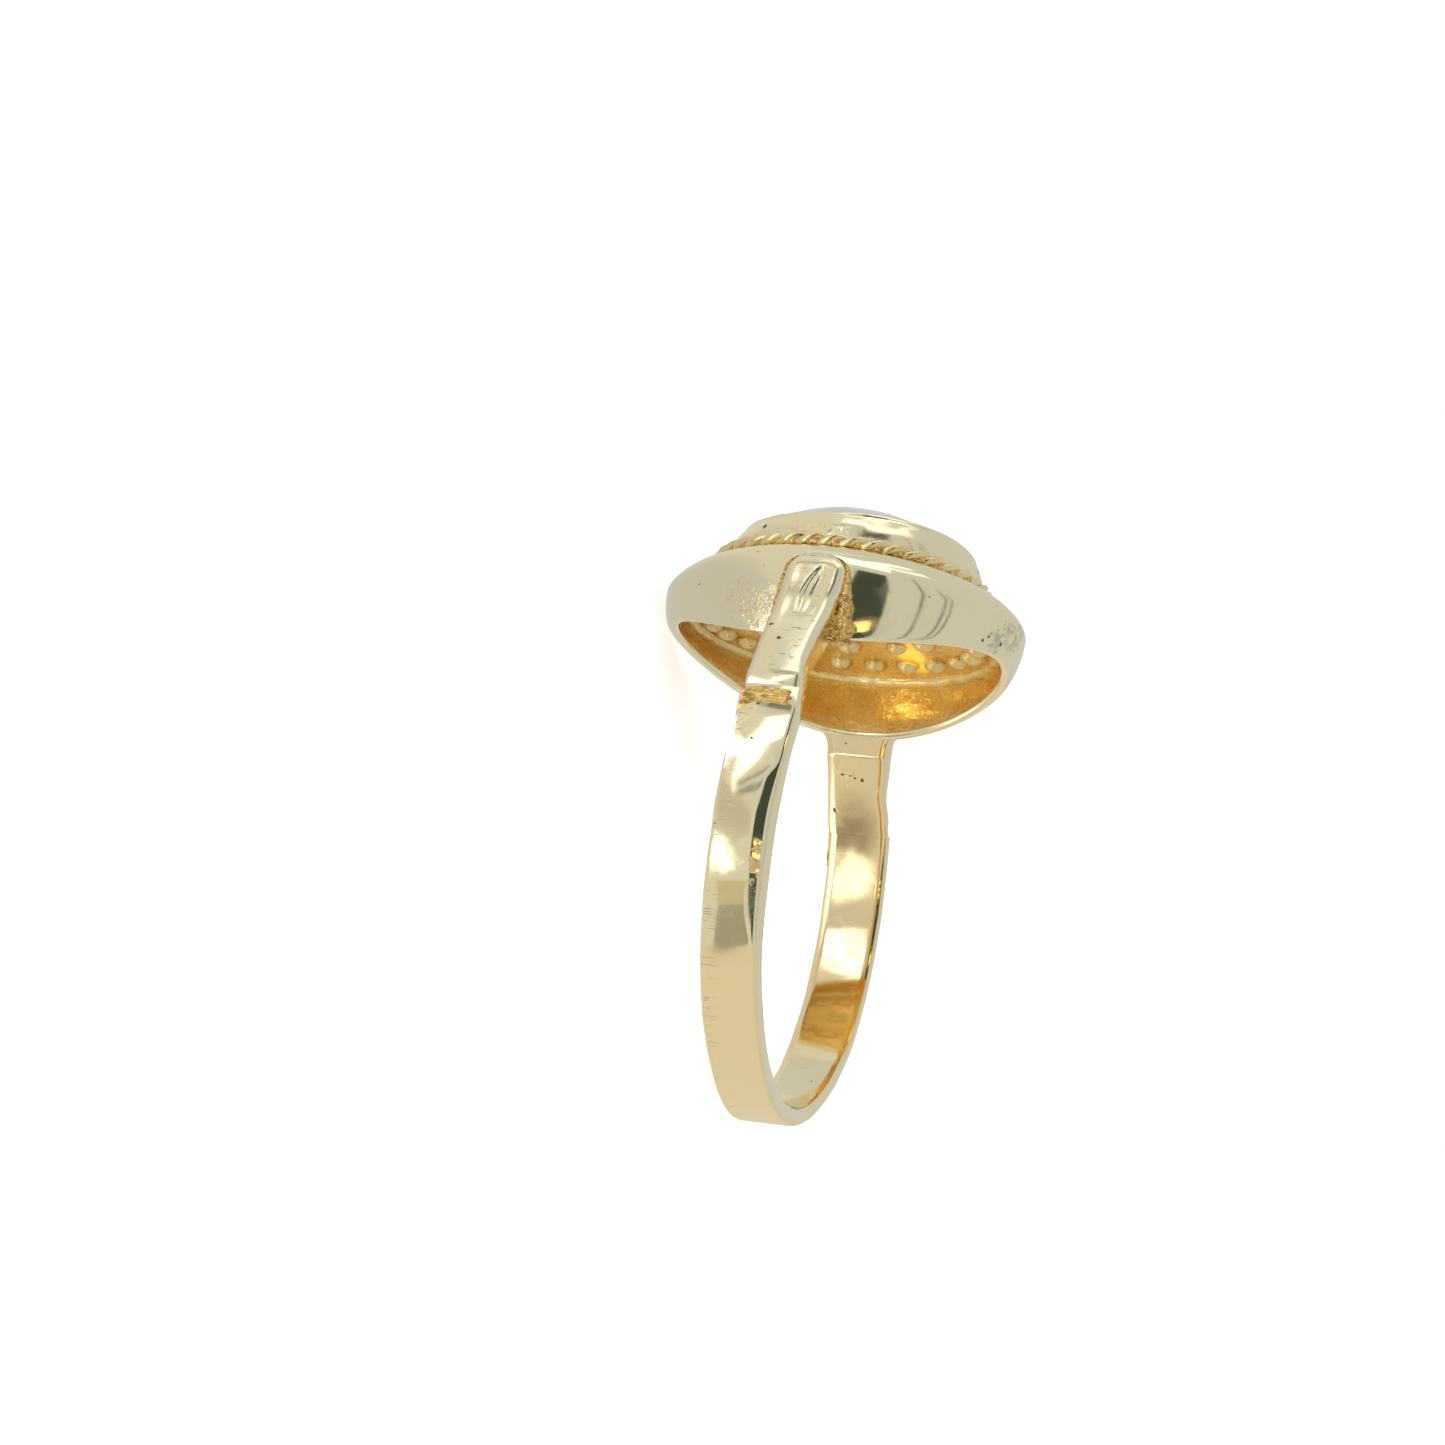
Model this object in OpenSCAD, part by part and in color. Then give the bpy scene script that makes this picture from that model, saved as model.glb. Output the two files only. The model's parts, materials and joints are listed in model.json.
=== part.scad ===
// Opal ring: a thin gold band, a flaring oval skirt with a rope wire and a bezel, and a domed oval stone.
// Millimetres. The ring is drawn with the finger's axis along X, the head at +Z and the origin at the
// centre of the finger hole. in_place() then lays it on its side, as it rests by itself: the band's
// edge and one end of the skirt are on the plane z = 0, and the origin is under the middle of the whole.

/* [Band] */
// Inner diameter of the band, the finger's
finger_d = 18; // [17:0.1:19]
// Width of the band along the finger
band_w = 2.2; // [1.8:0.1:2.8]
// Thickness of the band at its lowest point
band_t = 0.7; // [0.6:0.05:1]
// How much thinner the band is halfway up its sides
band_thin = 0.05; // [0:0.05:0.2]
// Radius of the band's softened outer edges
edge_r = 0.15; // [0.1:0.01:0.2]

/* [Shoulders] */
// Height of the solder seam, where the shoulder leaves the round band
seam_z = 4.6; // [4:0.1:5]
// Depth of the shoulder's outer face at the skirt's rim
shoulder_y = 6.3; // [6.1:0.05:6.6]
// Height at which the shoulder meets the skirt's wall
shoulder_z = 9.1; // [8.8:0.1:9.4]
// Depth of the tab's outer face at its top
tab_y = 5.55; // [5.4:0.05:5.7]
// Height of the tab's round top
tab_top_z = 11.25; // [11:0.05:11.4]
// Width of the leaf-shaped hollow in the tab
leaf_w = 0.9; // [0.6:0.1:1.2]
// Length of the leaf-shaped hollow in the tab
leaf_len = 2.6; // [2:0.1:3]

/* [Skirt] */
// Length of the skirt's top edge, along the finger
skirt_top_l = 11; // [10.8:0.1:11.4]
// Width of the skirt's top edge
skirt_top_w = 9.2; // [9:0.1:9.4]
// Height of the skirt's top edge
skirt_top_z = 11.8; // [11.6:0.1:12]
// Greatest length of the skirt
skirt_l = 14.4; // [14:0.1:14.8]
// Greatest width of the skirt
skirt_w = 11.6; // [11.4:0.1:11.8]
// Height at which the skirt's ends are longest
skirt_wide_z = 10.7; // [10.5:0.1:10.9]
// Length of the opening under the skirt
mouth_l = 12.8; // [12.6:0.1:13]
// Width of the opening under the skirt
mouth_w = 10.8; // [10.6:0.1:10.9]
// Height of the rim at the skirt's ends
rim_z = 9.2; // [9.1:0.05:9.4]
// Radius of the curve that the rim follows over the finger
rim_curve_r = 10.8; // [10.4:0.1:12]

/* [Back plate] */
// Height of the back plate's underside
plate_z = 10.05; // [10:0.05:10.3]
// Diameter of the ball that each raised dot is a cap of
dot_d = 1; // [0.8:0.05:1.1]
// Height of each raised dot below the plate
dot_h = 0.3; // [0.2:0.05:0.4]
// Dots in the outer oval
outer_dots = 24; // [16:1:26]
// Dots in the inner oval
inner_dots = 10; // [6:1:11]

/* [Rope wire] */
// Thickness of the twisted wire
rope_d = 0.5; // [0.4:0.05:0.55]
// Ridges of the twist once round the bezel
rope_ridges = 40; // [32:2:44]

/* [Bezel and opal] */
// Length of the bezel at its foot
bezel_foot_l = 10.2; // [10:0.1:10.4]
// Width of the bezel at its foot
bezel_foot_w = 8.3; // [8.1:0.1:8.5]
// Length of the bezel at its lip
bezel_lip_l = 9.2; // [9.1:0.1:9.5]
// Height of the bezel's lip
bezel_top_z = 13.6; // [13.4:0.1:13.8]
// Thickness of the bezel's wall at its lip
bezel_wall = 0.35; // [0.3:0.05:0.45]
// Height of the seat that the stone stands on
seat_z = 11.3; // [11.2:0.1:11.6]
// Gap all round the stone
stone_gap = 0.04; // [0.03:0.01:0.06]
// Height of the stone's dome above the lip
dome_h = 1.4; // [1:0.1:1.8]

/* [Hidden] */
$fn = 64;
GOLD = "#d9bf7e";
OPAL = "#b8d0cf";
// How far pieces of the one casting reach into each other, and how far a cut reaches past a face.
bite = 0.3;
past = 1;

half_w = band_w / 2;
finger_r = finger_d / 2;
// The band's outer round sits a little lower than the finger hole, so the band is thickest at the bottom.
band_r = finger_r + band_t - band_thin;
band_low = band_r + band_thin;

// The shoulder leaves the round band this far below its seam, and is this far inside the round there.
shoulder_blend = 1.2;
shoulder_in = 0.28;
// The bend between the shoulder and its tab: how far out from, and down from, the tab's top.
tab_bend = [0.35, 0.8];
// The leaf-shaped hollow: its depth across, its centre out of and down from the tab's top, and its lean.
leaf_depth = 0.5;
leaf_out = 0.54;
leaf_down = 1.1;
leaf_lean = 16;

// Points round each oval of the skirt, and rings on its upper, domed part.
around = 64;
dome_steps = 6;
// The dome's fullness outwards and upwards, and the share of the rim's drop that its longest ring has.
dome_out = 1.1;
dome_up = 1.4;
dome_share = 0.6;
// The rings of the skirt below its longest: how far inside the greatest size the length and the
// width are, how far below the longest ring, and the share of the rim's drop.
lower_rings = [
    [0.03, 0, 0.5, 0.73],
    [0.14, 0.02, 1, 0.87],
    [0.3, 0.06, 1.4, 0.97]
];
rim_soft = 0.08;

// The ring leans on its skirt's end and its band's edge: this is the lean of the finger's axis.
rest_ring = lower_rings[1];
rest_dx = skirt_l / 2 - rest_ring[0] - half_w + edge_r;
rest_dz = skirt_wide_z - rest_ring[2] + band_low - edge_r;
lean = atan2(rest_dx, rest_dz) - asin(edge_r / norm([rest_dx, rest_dz]));
rest_h = (band_low - edge_r) * sin(lean) + (half_w - edge_r) * cos(lean) + edge_r;

// Bezel and stone are drawn round and narrowed to an oval by this ratio.
bezel_ratio = bezel_foot_w / bezel_foot_l;
bezel_bulge = 0.14;
bezel_steps = 6;
lip_round = 0.15;
seat_r = bezel_foot_l / 2 - bezel_wall - 0.05;
lip_r = bezel_lip_l / 2 - bezel_wall;
dome_r = lip_r - stone_gap;
ball_r = (dome_r * dome_r + dome_h * dome_h) / (2 * dome_h);
stone_sides = 96;
stone_steps = 12;

// How far the lying ring reaches from the finger hole's centre, to the band's edge and to the dome.
reach_low = (band_low - edge_r) * cos(lean) + (half_w - edge_r) * sin(lean) + edge_r;
reach_high = (bezel_top_z + dome_h - ball_r) * cos(lean) + ball_r;

// The raised dots: half length and half width of each oval, and how many dots it has.
dot_ovals = [
    [5.45, 3.3, outer_dots],
    [3.4, 1.3, inner_dots]
];

// Points round the wire's section, and rings for each ridge of its twist. The section's reach in
// wire radii is the core's, and the ridge's on top of it. The wire sits this share of a radius high.
wire_sides = 8;
ridge_steps = 4;
wire_core = 0.66;
wire_ridge = 0.4;
wire_lift = 0.8;

// How far the rim, or a share of it, drops at depth y on the curve that clears the finger.
function drop(y, share) = share * (rim_curve_r - sqrt(rim_curve_r * rim_curve_r - y * y));

// A ring of the skirt's domed part, at angle s from its top edge (0) to its longest ring (90):
// half length, half width, height and share of the rim's drop.
function dome_ring(s) =
    let (out = pow(sin(s), dome_out), up = pow(cos(s), dome_up))
    [
        (skirt_top_l + (skirt_l - skirt_top_l) * out) / 2,
        (skirt_top_w + (skirt_w - skirt_top_w) * out) / 2,
        skirt_wide_z + (skirt_top_z - skirt_wide_z) * up,
        dome_share * (1 - up)
    ];

// The skirt's rings from its top edge, over its rim and up inside to the back plate.
function skirt_rings() = concat(
    [for (i = [0 : dome_steps]) dome_ring(90 * i / dome_steps)],
    [for (r = lower_rings) [skirt_l / 2 - r[0], skirt_w / 2 - r[1], skirt_wide_z - r[2], r[3]]],
    [
        [(skirt_l + mouth_l) / 4 + rim_soft / 2, (skirt_w + mouth_w) / 4 + rim_soft / 2, rim_z, 1],
        [mouth_l / 2 + rim_soft, mouth_w / 2 + rim_soft, rim_z, 1],
        [mouth_l / 2, mouth_w / 2, rim_z + rim_soft, 1],
        [mouth_l / 2, mouth_w / 2, plate_z + bite, 0]
    ]
);

function ring_points(r) = [
    for (j = [0 : around - 1])
        let (a = 360 * j / around, y = r[1] * sin(a))
        [r[0] * cos(a), y, r[2] - drop(y, r[3])]
];

// Triangles from each ring of n points to the next, the rings one inside or below the other.
function side_faces(rings, n) = [
    for (i = [0 : rings - 2], j = [0 : n - 1], half = [0, 1])
        let (a = i * n + j, b = i * n + (j + 1) % n)
        half == 0 ? [a, b, b + n] : [a, b + n, a + n]
];

// Lays the ring frame down on its side: finger axis up and leaning, head towards +X.
module in_place() {
    translate([(reach_low - reach_high) / 2, 0, rest_h])
        rotate([0, 90 - lean, 0])
            rotate([0, 0, 180])
                children();
}

// The round part of the band, a drum with softened edges, cut off above the start of the shoulders.
module band_drum() {
    intersection() {
        translate([0, 0, -band_thin])
            rotate([0, 90, 0])
                rotate_extrude() {
                    translate([0, edge_r - half_w])
                        square([band_r, band_w - 2 * edge_r]);
                    translate([0, -half_w])
                        square([band_r - edge_r, band_w]);
                    for (y = [edge_r - half_w, half_w - edge_r])
                        translate([band_r - edge_r, y])
                            circle(edge_r);
                }
        translate([-half_w - past, -band_r - past, -band_low - past])
            cube([band_w + 2 * past, 2 * (band_r + past), band_low + past + seam_z - shoulder_blend + bite]);
    }
}

// One shoulder: straight from the seam up to the skirt's wall, then up the wall to a round-topped tab.
module shoulder() {
    start_z = seam_z - shoulder_blend;
    start_y = sqrt(band_r * band_r - pow(start_z + band_thin, 2));
    wall_y = mouth_w / 2 + bite / 3;
    intersection() {
        rotate([90, 0, 90])
            translate([0, 0, -half_w])
                linear_extrude(band_w)
                    polygon([
                        [start_y, start_z],
                        [start_y - shoulder_in, seam_z],
                        [shoulder_y, shoulder_z],
                        [tab_y + tab_bend[0], tab_top_z - tab_bend[1]],
                        [tab_y, tab_top_z],
                        [skirt_top_w / 2 + bite, tab_top_z],
                        [wall_y, plate_z],
                        [wall_y, start_z]
                    ]);
        rotate([-90, 0, 0])
            linear_extrude(band_r + past) {
                translate([0, half_w - tab_top_z])
                    circle(half_w);
                translate([-half_w, half_w - tab_top_z])
                    square([band_w, tab_top_z]);
            }
    }
}

// The leaf-shaped hollow in the tab's face.
module tab_leaf() {
    translate([0, tab_y + leaf_out, tab_top_z - leaf_down])
        rotate([leaf_lean, 0, 0])
            scale([leaf_w, leaf_depth, leaf_len])
                sphere(d = 1);
}

module shank() {
    difference() {
        union() {
            band_drum();
            for (side = [0, 1])
                mirror([0, side, 0])
                    difference() {
                        shoulder();
                        tab_leaf();
                    }
        }
        rotate([0, 90, 0])
            cylinder(r = finger_r, h = band_w + 2 * past, center = true);
    }
}

module skirt() {
    rings = skirt_rings();
    count = len(rings);
    polyhedron(
        points = [for (r = rings) each ring_points(r)],
        faces = concat(
            [[for (j = [0 : around - 1]) around - 1 - j]],
            side_faces(count, around),
            [[for (j = [0 : around - 1]) (count - 1) * around + j]]
        )
    );
}

// The closed ceiling of the skirt's hollow, with raised dots on its underside.
module back_plate() {
    plate_r = (mouth_l + bite) / 2;
    translate([0, 0, plate_z])
        scale([1, (mouth_w + bite) / (mouth_l + bite), 1])
            cylinder(r = plate_r, h = 2 * bite);
    for (oval = dot_ovals, i = [0 : oval[2] - 1])
        let (a = 360 * (i + 0.5) / oval[2])
        translate([oval[0] * cos(a), oval[1] * sin(a), plate_z + dot_d / 2 - dot_h])
            sphere(d = dot_d, $fn = 32);
}

// The bezel's outer form, solid: a collar that swells a little and rolls in to its lip.
module bezel_body() {
    foot_r = bezel_foot_l / 2;
    top_r = bezel_lip_l / 2;
    foot_z = skirt_top_z - bite;
    high = bezel_top_z - lip_round - foot_z;
    scale([1, bezel_ratio, 1])
        rotate_extrude()
            polygon(concat(
                [[0, foot_z]],
                [for (i = [0 : bezel_steps])
                    let (s = i / bezel_steps)
                    [foot_r + (top_r - foot_r) * s * s + bezel_bulge * sin(180 * s), foot_z + high * s]],
                [[top_r - lip_round, bezel_top_z], [lip_r, bezel_top_z + lip_round / 2]],
                [[0, bezel_top_z + lip_round / 2]]
            ));
}

// The pocket that the stone stands in, wider at its seat than at the lip.
module stone_pocket() {
    scale([1, bezel_ratio, 1])
        translate([0, 0, seat_z])
            cylinder(r1 = seat_r, r2 = lip_r, h = bezel_top_z - seat_z);
    scale([1, bezel_ratio, 1])
        translate([0, 0, bezel_top_z])
            cylinder(r = lip_r, h = past);
}

// Two wires twisted together, laid in the corner between the skirt and the bezel.
module rope_wire() {
    n = rope_ridges * ridge_steps;
    wire_r = rope_d / 2;
    long_r = bezel_foot_l / 2 + wire_r;
    short_r = bezel_foot_w / 2 + wire_r;
    polyhedron(
        points = [
            for (i = [0 : n - 1], k = [0 : wire_sides - 1])
                let (
                    a = 360 * i / n,
                    turn = rope_ridges * a / 2,
                    psi = 360 * k / wire_sides,
                    reach = wire_r * (wire_core + wire_ridge * pow(cos(psi - turn), 2))
                )
                [
                    (long_r + reach * cos(psi)) * cos(a),
                    (short_r + reach * cos(psi)) * sin(a),
                    skirt_top_z + wire_r * wire_lift + reach * sin(psi)
                ]
        ],
        faces = [
            for (i = [0 : n - 1], k = [0 : wire_sides - 1], half = [0, 1])
                let (
                    a = i * wire_sides + k,
                    b = i * wire_sides + (k + 1) % wire_sides,
                    next = ((i + 1) % n) * wire_sides,
                    c = next + (k + 1) % wire_sides,
                    d = next + k
                )
                half == 0 ? [a, b, c] : [a, c, d]
        ]
    );
}

module ring_mount() {
    color(GOLD)
        in_place() {
            shank();
            rope_wire();
            back_plate();
            difference() {
                union() {
                    skirt();
                    bezel_body();
                }
                stone_pocket();
            }
        }
}

// The domed oval stone: a side tapered to the pocket, and a cap of a ball on top.
module opal() {
    base_z = seat_z + stone_gap;
    girdle = asin(dome_r / ball_r);
    color(OPAL)
        in_place()
            scale([1, bezel_ratio, 1])
                rotate_extrude($fn = stone_sides)
                    polygon(concat(
                        [[0, base_z], [seat_r - stone_gap, base_z]],
                        [for (i = [0 : stone_steps])
                            let (s = girdle * (1 - i / stone_steps))
                            [ball_r * sin(s), bezel_top_z + dome_h - ball_r * (1 - cos(s))]]
                    ));
}

ring_mount();
opal();
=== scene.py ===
"""Opal ring, lying on its side: the finished pieces, their materials, the light and the camera."""

import json
import math

import bmesh
import bpy
from mathutils import Matrix, Vector, noise


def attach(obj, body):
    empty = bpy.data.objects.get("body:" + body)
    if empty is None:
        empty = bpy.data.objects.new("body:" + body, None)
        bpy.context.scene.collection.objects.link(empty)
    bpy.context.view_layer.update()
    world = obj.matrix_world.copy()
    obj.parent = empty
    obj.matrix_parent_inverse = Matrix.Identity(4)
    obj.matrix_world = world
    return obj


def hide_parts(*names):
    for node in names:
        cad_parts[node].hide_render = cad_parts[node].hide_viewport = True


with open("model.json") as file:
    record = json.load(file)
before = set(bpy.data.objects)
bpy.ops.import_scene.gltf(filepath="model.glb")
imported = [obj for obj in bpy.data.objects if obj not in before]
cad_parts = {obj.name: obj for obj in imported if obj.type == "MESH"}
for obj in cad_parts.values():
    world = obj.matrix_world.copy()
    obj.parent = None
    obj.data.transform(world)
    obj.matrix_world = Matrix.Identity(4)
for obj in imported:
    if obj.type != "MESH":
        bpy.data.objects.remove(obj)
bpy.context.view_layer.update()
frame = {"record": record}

# The ring's own frame, in millimetres: x along the finger, y in depth away from the camera and z up
# towards the stone, with the origin at the centre of the finger hole. The record says how it lies.
MM = 0.001
bore = frame["record"]["mounts"][0]
finger_axis = Vector(bore["axis"])
depth_axis = Vector((0, -1, 0))
head_axis = finger_axis.cross(depth_axis)
turned = Matrix((finger_axis, depth_axis, head_axis)).transposed()
RING = Matrix.Translation(bore["pos_m"]) @ turned.to_4x4() @ Matrix.Scale(MM, 4)

# Band and shoulders
finger_r = bore["dims"]["r_mm"]
half_band = bore["dims"]["length_mm"] / 2
band_t = 0.7
band_thin = 0.05
band_end_out = 0.05
seam_z = 4.15
band_end_z = 4.264
edge_soft = 0.14
side_round = 0.22
bevel_slope = 0.17
inner_round = 0.07
# How the section changes round the band, as (degrees from its lowest point, value) stops: how much
# wider it is on its right, where its bevel starts, its crown, and how much softer its right edge is.
band_right = [(-120, 0.02), (-110, 0.16), (-75, 0.12), (-50, 0.0), (20, 0.0), (70, 0.22)]
band_bevel = [(-101, 1.3), (-92, 0.58), (-84, 0.46), (-66, 0.5), (-42, 1.3)]
band_crown = [(-118, 0.035), (-70, 0.012), (-50, 0.0)]
band_soft = [(-98, 0), (-86, 0.1), (-75, 0.1), (-50, 0)]
# The shoulder's half widths, soft edges and crown, as (height, value) stops. The far limb is wider on
# its right.
limb_left = [(4.2, 1.14), (5.0, 1.22), (7.0, 1.25), (9.0, 1.22), (11, 1.2)]
limb_right = [(4.4, 1.1), (4.9, 1.02), (6.0, 0.86), (7.1, 0.92), (9, 1.12), (9.8, 1.24), (11, 1.24)]
far_wider = 0.22
limb_soft_left = [(4.5, 0.18), (7, 0.30), (9, 0.38), (11, 0.42)]
limb_soft_right = [(4.5, 0.26), (7, 0.34), (9, 0.40), (11, 0.42)]
limb_crown = [(4.3, 0.10), (5.4, 0.05), (7, 0.03)]
# The outer face from its seam to the tab's top, as (depth, height): a slow round above the seam, a
# straight slope to the skirt's rim, then up the skirt's wall.
slope_start = (8.232, 5.4)
slope_end = (6.66, 8.4)
slope_way = math.atan2(2.35, 4.5)
lip_r = 2.4
tab_path = [(6.36, 9.06), (6.16, 9.64), (6.01, 10.15), (5.86, 10.6), (5.66, 10.95), (5.4, 11.17)]
tab_top = (5.1, 11.3)
# The inner face leaves the finger's round at this (depth, height), behind this height of the outer
# face. From there it leans in by a slope, down to a least depth, up to its top.
inner_start = (5.754, 6.92)
behind_z = 7.4
near_lean = (0.5, 5.46)
far_lean = (0.355, 5.38)
inner_top_z = 10.95
# The seam's solder: its lower and upper edge, as (height, distance from the finger hole), and the
# radius that its folds are measured on.
seam_edges = [(3.42, 0.68), (4.75, 0.55)]
seam_r = 9.5
# The tab's dished panel, and the leaf in it: its middle height, half width and half length, and how
# far along the finger it lies, as (height, value) stops.
panel_deep = 0.03
leaf_deep = 0.085
leaf_z = 9.25
leaf_half = (0.42, 1.45)
leaf_bend = [(7.6, 0.0), (9.0, 0.10), (10.7, 0.32)]
# A bevel that starts beyond the edge, so that none shows.
no_bevel = 2.0

# Skirt
skirt_top = (5.5, 4.6)
skirt_top_z = 11.8
skirt_wide = (7.2, 5.8)
skirt_wide_z = 10.7
mouth = (6.4, 5.4)
skirt_throat = (4.9, 4.0)
rim_z = 9.2
rim_curve_r = 10.8
dome_out = 1.1
dome_up = 1.4
dome_share = 0.6
# The wall from the widest place over the rim and up inside, as (half length, half width, height,
# share of the rim's drop).
skirt_wall = [(7.2, 5.8, 10.7, 0.6), (7.17, 5.8, 10.2, 0.73), (7.06, 5.78, 9.7, 0.87)]
skirt_wall += [(6.92, 5.73, 9.36, 0.97), (6.78, 5.66, 9.23, 1.0), (6.62, 5.56, 9.18, 1.0)]
skirt_wall += [(6.47, 5.45, 9.22, 1.0), (6.40, 5.40, 9.36, 0.98), (6.40, 5.40, 9.8, 0.4)]

# Back plate, its ledge and its raised dots
plate_z = 10.05
ledge = (6.2, 5.2)
ledge_r = (0.36, 0.3)
outer_dots = 24
inner_dots = 10
outer_oval = (5.45, 3.3)
inner_oval = (3.4, 1.3)
dot_r = 0.49
dot_h = 0.36

# Bezel and stone
bezel_foot = (5.1, 4.15)
bezel_ratio = bezel_foot[1] / bezel_foot[0]
bezel_lip = 4.6
bezel_top_z = 13.6
bezel_wall = 0.35
bezel_bulge = 0.14
bezel_swell = 0.20
near_lip_lift = 0.15
lip_round = 0.15
seat_z = 11.3
stone_gap = 0.04
dome_h = 1.4

# Twisted wire round the bezel's foot
rope_d = 0.5
rope_ridges = 40
rope_oval = [half + rope_d / 2 + 0.02 for half in bezel_foot]
rope_solder_r = (0.2, 0.21)


def clamp01(v):
    return max(0.0, min(1.0, v))


def ease(low, high, v):
    """0 below low, 1 above high, and a smooth step between them."""
    t = clamp01((v - low) / (high - low))
    return t * t * (3 - 2 * t)


def hump(centre, reach, v):
    """1 at the centre, falling smoothly to 0 a few reaches away."""
    return math.exp(-(((v - centre) / reach) ** 2))


def wobble(point, size, seed):
    """Smooth unevenness between about -1 and 1, with features of the given size."""
    return noise.noise(Vector(point) / size + Vector((seed, seed * 1.7, seed * 0.3)))


def along(stops, v):
    """A value that runs smoothly through (place, value) stops."""
    for (p0, v0), (p1, v1) in zip(stops, stops[1:]):
        if v <= p1:
            return v0 + (v1 - v0) * ease(p0, p1, v)
    return stops[-1][1]


def point_on(path, t):
    """A point on a smooth curve through the path's points, t from 0 to 1."""
    spans = len(path) - 1
    i = min(int(t * spans), spans - 1)
    u = t * spans - i
    p = [Vector(path[max(0, min(spans, i + k))]) for k in (-1, 0, 1, 2)]
    slope_in = (p[2] - p[0]) / 2
    slope_out = (p[3] - p[1]) / 2
    return (
        p[1] * (2 * u**3 - 3 * u**2 + 1)
        + slope_in * (u**3 - 2 * u**2 + u)
        + p[2] * (3 * u**2 - 2 * u**3)
        + slope_out * (u**3 - u**2)
    )


def shares(steps):
    """Even steps from 0 to 1, with both ends."""
    return [i / steps for i in range(steps + 1)]


def turns(count):
    """So many even angles once round."""
    return [2 * math.pi * i / count for i in range(count)]


def oval(half_l, half_w, height, count):
    """So many points round a level oval."""
    return [(half_l * math.cos(a), half_w * math.sin(a), height) for a in turns(count)]


def direction(azimuth, elevation):
    """A direction in the ring's frame, from its angles in degrees."""
    az, el = math.radians(azimuth), math.radians(elevation)
    return Vector((math.cos(el) * math.cos(az), math.cos(el) * math.sin(az), math.sin(el)))


def add_object(name, data):
    made = bpy.data.objects.new(name, data)
    bpy.context.scene.collection.objects.link(made)
    return made


# Node trees


def sign(operation):
    """A Math node, to stand as a sign between a wire and a wire or number."""
    return lambda wire, other: calc(operation, wire, other)


class Wire:
    """What comes out of a node. Its sums and products are Math nodes of the same tree."""

    __add__ = sign("ADD")
    __sub__ = sign("SUBTRACT")
    __mul__ = sign("MULTIPLY")
    __truediv__ = sign("DIVIDE")

    def __init__(self, socket):
        self.socket = socket
        self.tree = socket.id_data

    def vector(self, operation, *others):
        inputs = dict(enumerate((self, *others)))
        output = "Value" if operation in ("LENGTH", "DISTANCE") else "Vector"
        return put(self.tree, "ShaderNodeVectorMath", inputs, output, operation=operation)


def wires(node):
    """Every output of a node, by its name."""
    return {socket.name: Wire(socket) for socket in node.outputs}


def fill(node, inputs):
    """Sets inputs of a node to values, or links them to wires."""
    for key, value in inputs.items():
        if isinstance(value, Wire):
            node.id_data.links.new(value.socket, node.inputs[key])
        else:
            node.inputs[key].default_value = value
    return node


def put(tree, kind, inputs=None, output=0, **settings):
    """Adds a node with its settings and inputs, and returns the wire of one of its outputs."""
    node = tree.nodes.new(kind)
    for key, value in settings.items():
        setattr(node, key, value)
    return Wire(fill(node, inputs or {}).outputs[output])


def tree_of(*values):
    return next(value.tree for value in values if isinstance(value, Wire))


def calc(operation, *values):
    inputs = dict(enumerate(values))
    return put(tree_of(*values), "ShaderNodeMath", inputs, operation=operation)


def remap(value, low, high, to_low=0.0, to_high=1.0):
    inputs = {0: value, 1: low, 2: high, 3: to_low, 4: to_high}
    return put(value.tree, "ShaderNodeMapRange", inputs, interpolation_type="SMOOTHSTEP")


def tint(share, colour_a, colour_b):
    """The first colour, mixed with a share of the second."""
    inputs = {0: share, 6: colour_a, 7: colour_b}
    return put(tree_of(*inputs.values()), "ShaderNodeMix", inputs, 2, data_type="RGBA")


def grain(place, scale, detail=3.0, rough=0.5, distortion=0.0):
    inputs = {"Vector": place, "Scale": scale, "Detail": detail, "Roughness": rough}
    inputs["Distortion"] = distortion
    return put(place.tree, "ShaderNodeTexNoise", inputs, "Fac")


def stretch(place, factors):
    return put(place.tree, "ShaderNodeMapping", {"Vector": place, "Scale": factors})


def part_of(place, axis):
    return put(place.tree, "ShaderNodeSeparateXYZ", {0: place}, axis)


def new_group(name, inputs, outputs):
    """A shader node group: the wires of its Place and of its other inputs, and its output node."""
    tree = bpy.data.node_groups.new(name, "ShaderNodeTree")
    for label, value in {"Place": None, **inputs}.items():
        kind = "NodeSocketVector" if value is None else "NodeSocketFloat"
        socket = tree.interface.new_socket(label, in_out="INPUT", socket_type=kind)
        if value is not None:
            socket.default_value = value
    for label in outputs:
        tree.interface.new_socket(label, in_out="OUTPUT", socket_type="NodeSocketFloat")
    given = wires(tree.nodes.new("NodeGroupInput"))
    return given["Place"], given, tree.nodes.new("NodeGroupOutput")


def use_group(group, **values):
    node = values["Place"].tree.nodes.new("ShaderNodeGroup")
    node.node_tree = group
    return wires(fill(node, values))


def make_ripple_group():
    """Slow unevenness of hand-finished metal, which bends what it reflects."""
    place, given, result = new_group("hand_finish", {"Depth": 0.01, "Size": 1.0}, ["Height"])
    scale = calc("DIVIDE", 0.55, given["Size"])
    slow = grain(place, scale, 1.0, 0.4, 0.3)
    fine = grain(place, scale * 4.2, 2.0)
    fill(result, {"Height": (fine * 0.16 + slow) * given["Depth"]})
    return result.id_data


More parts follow.
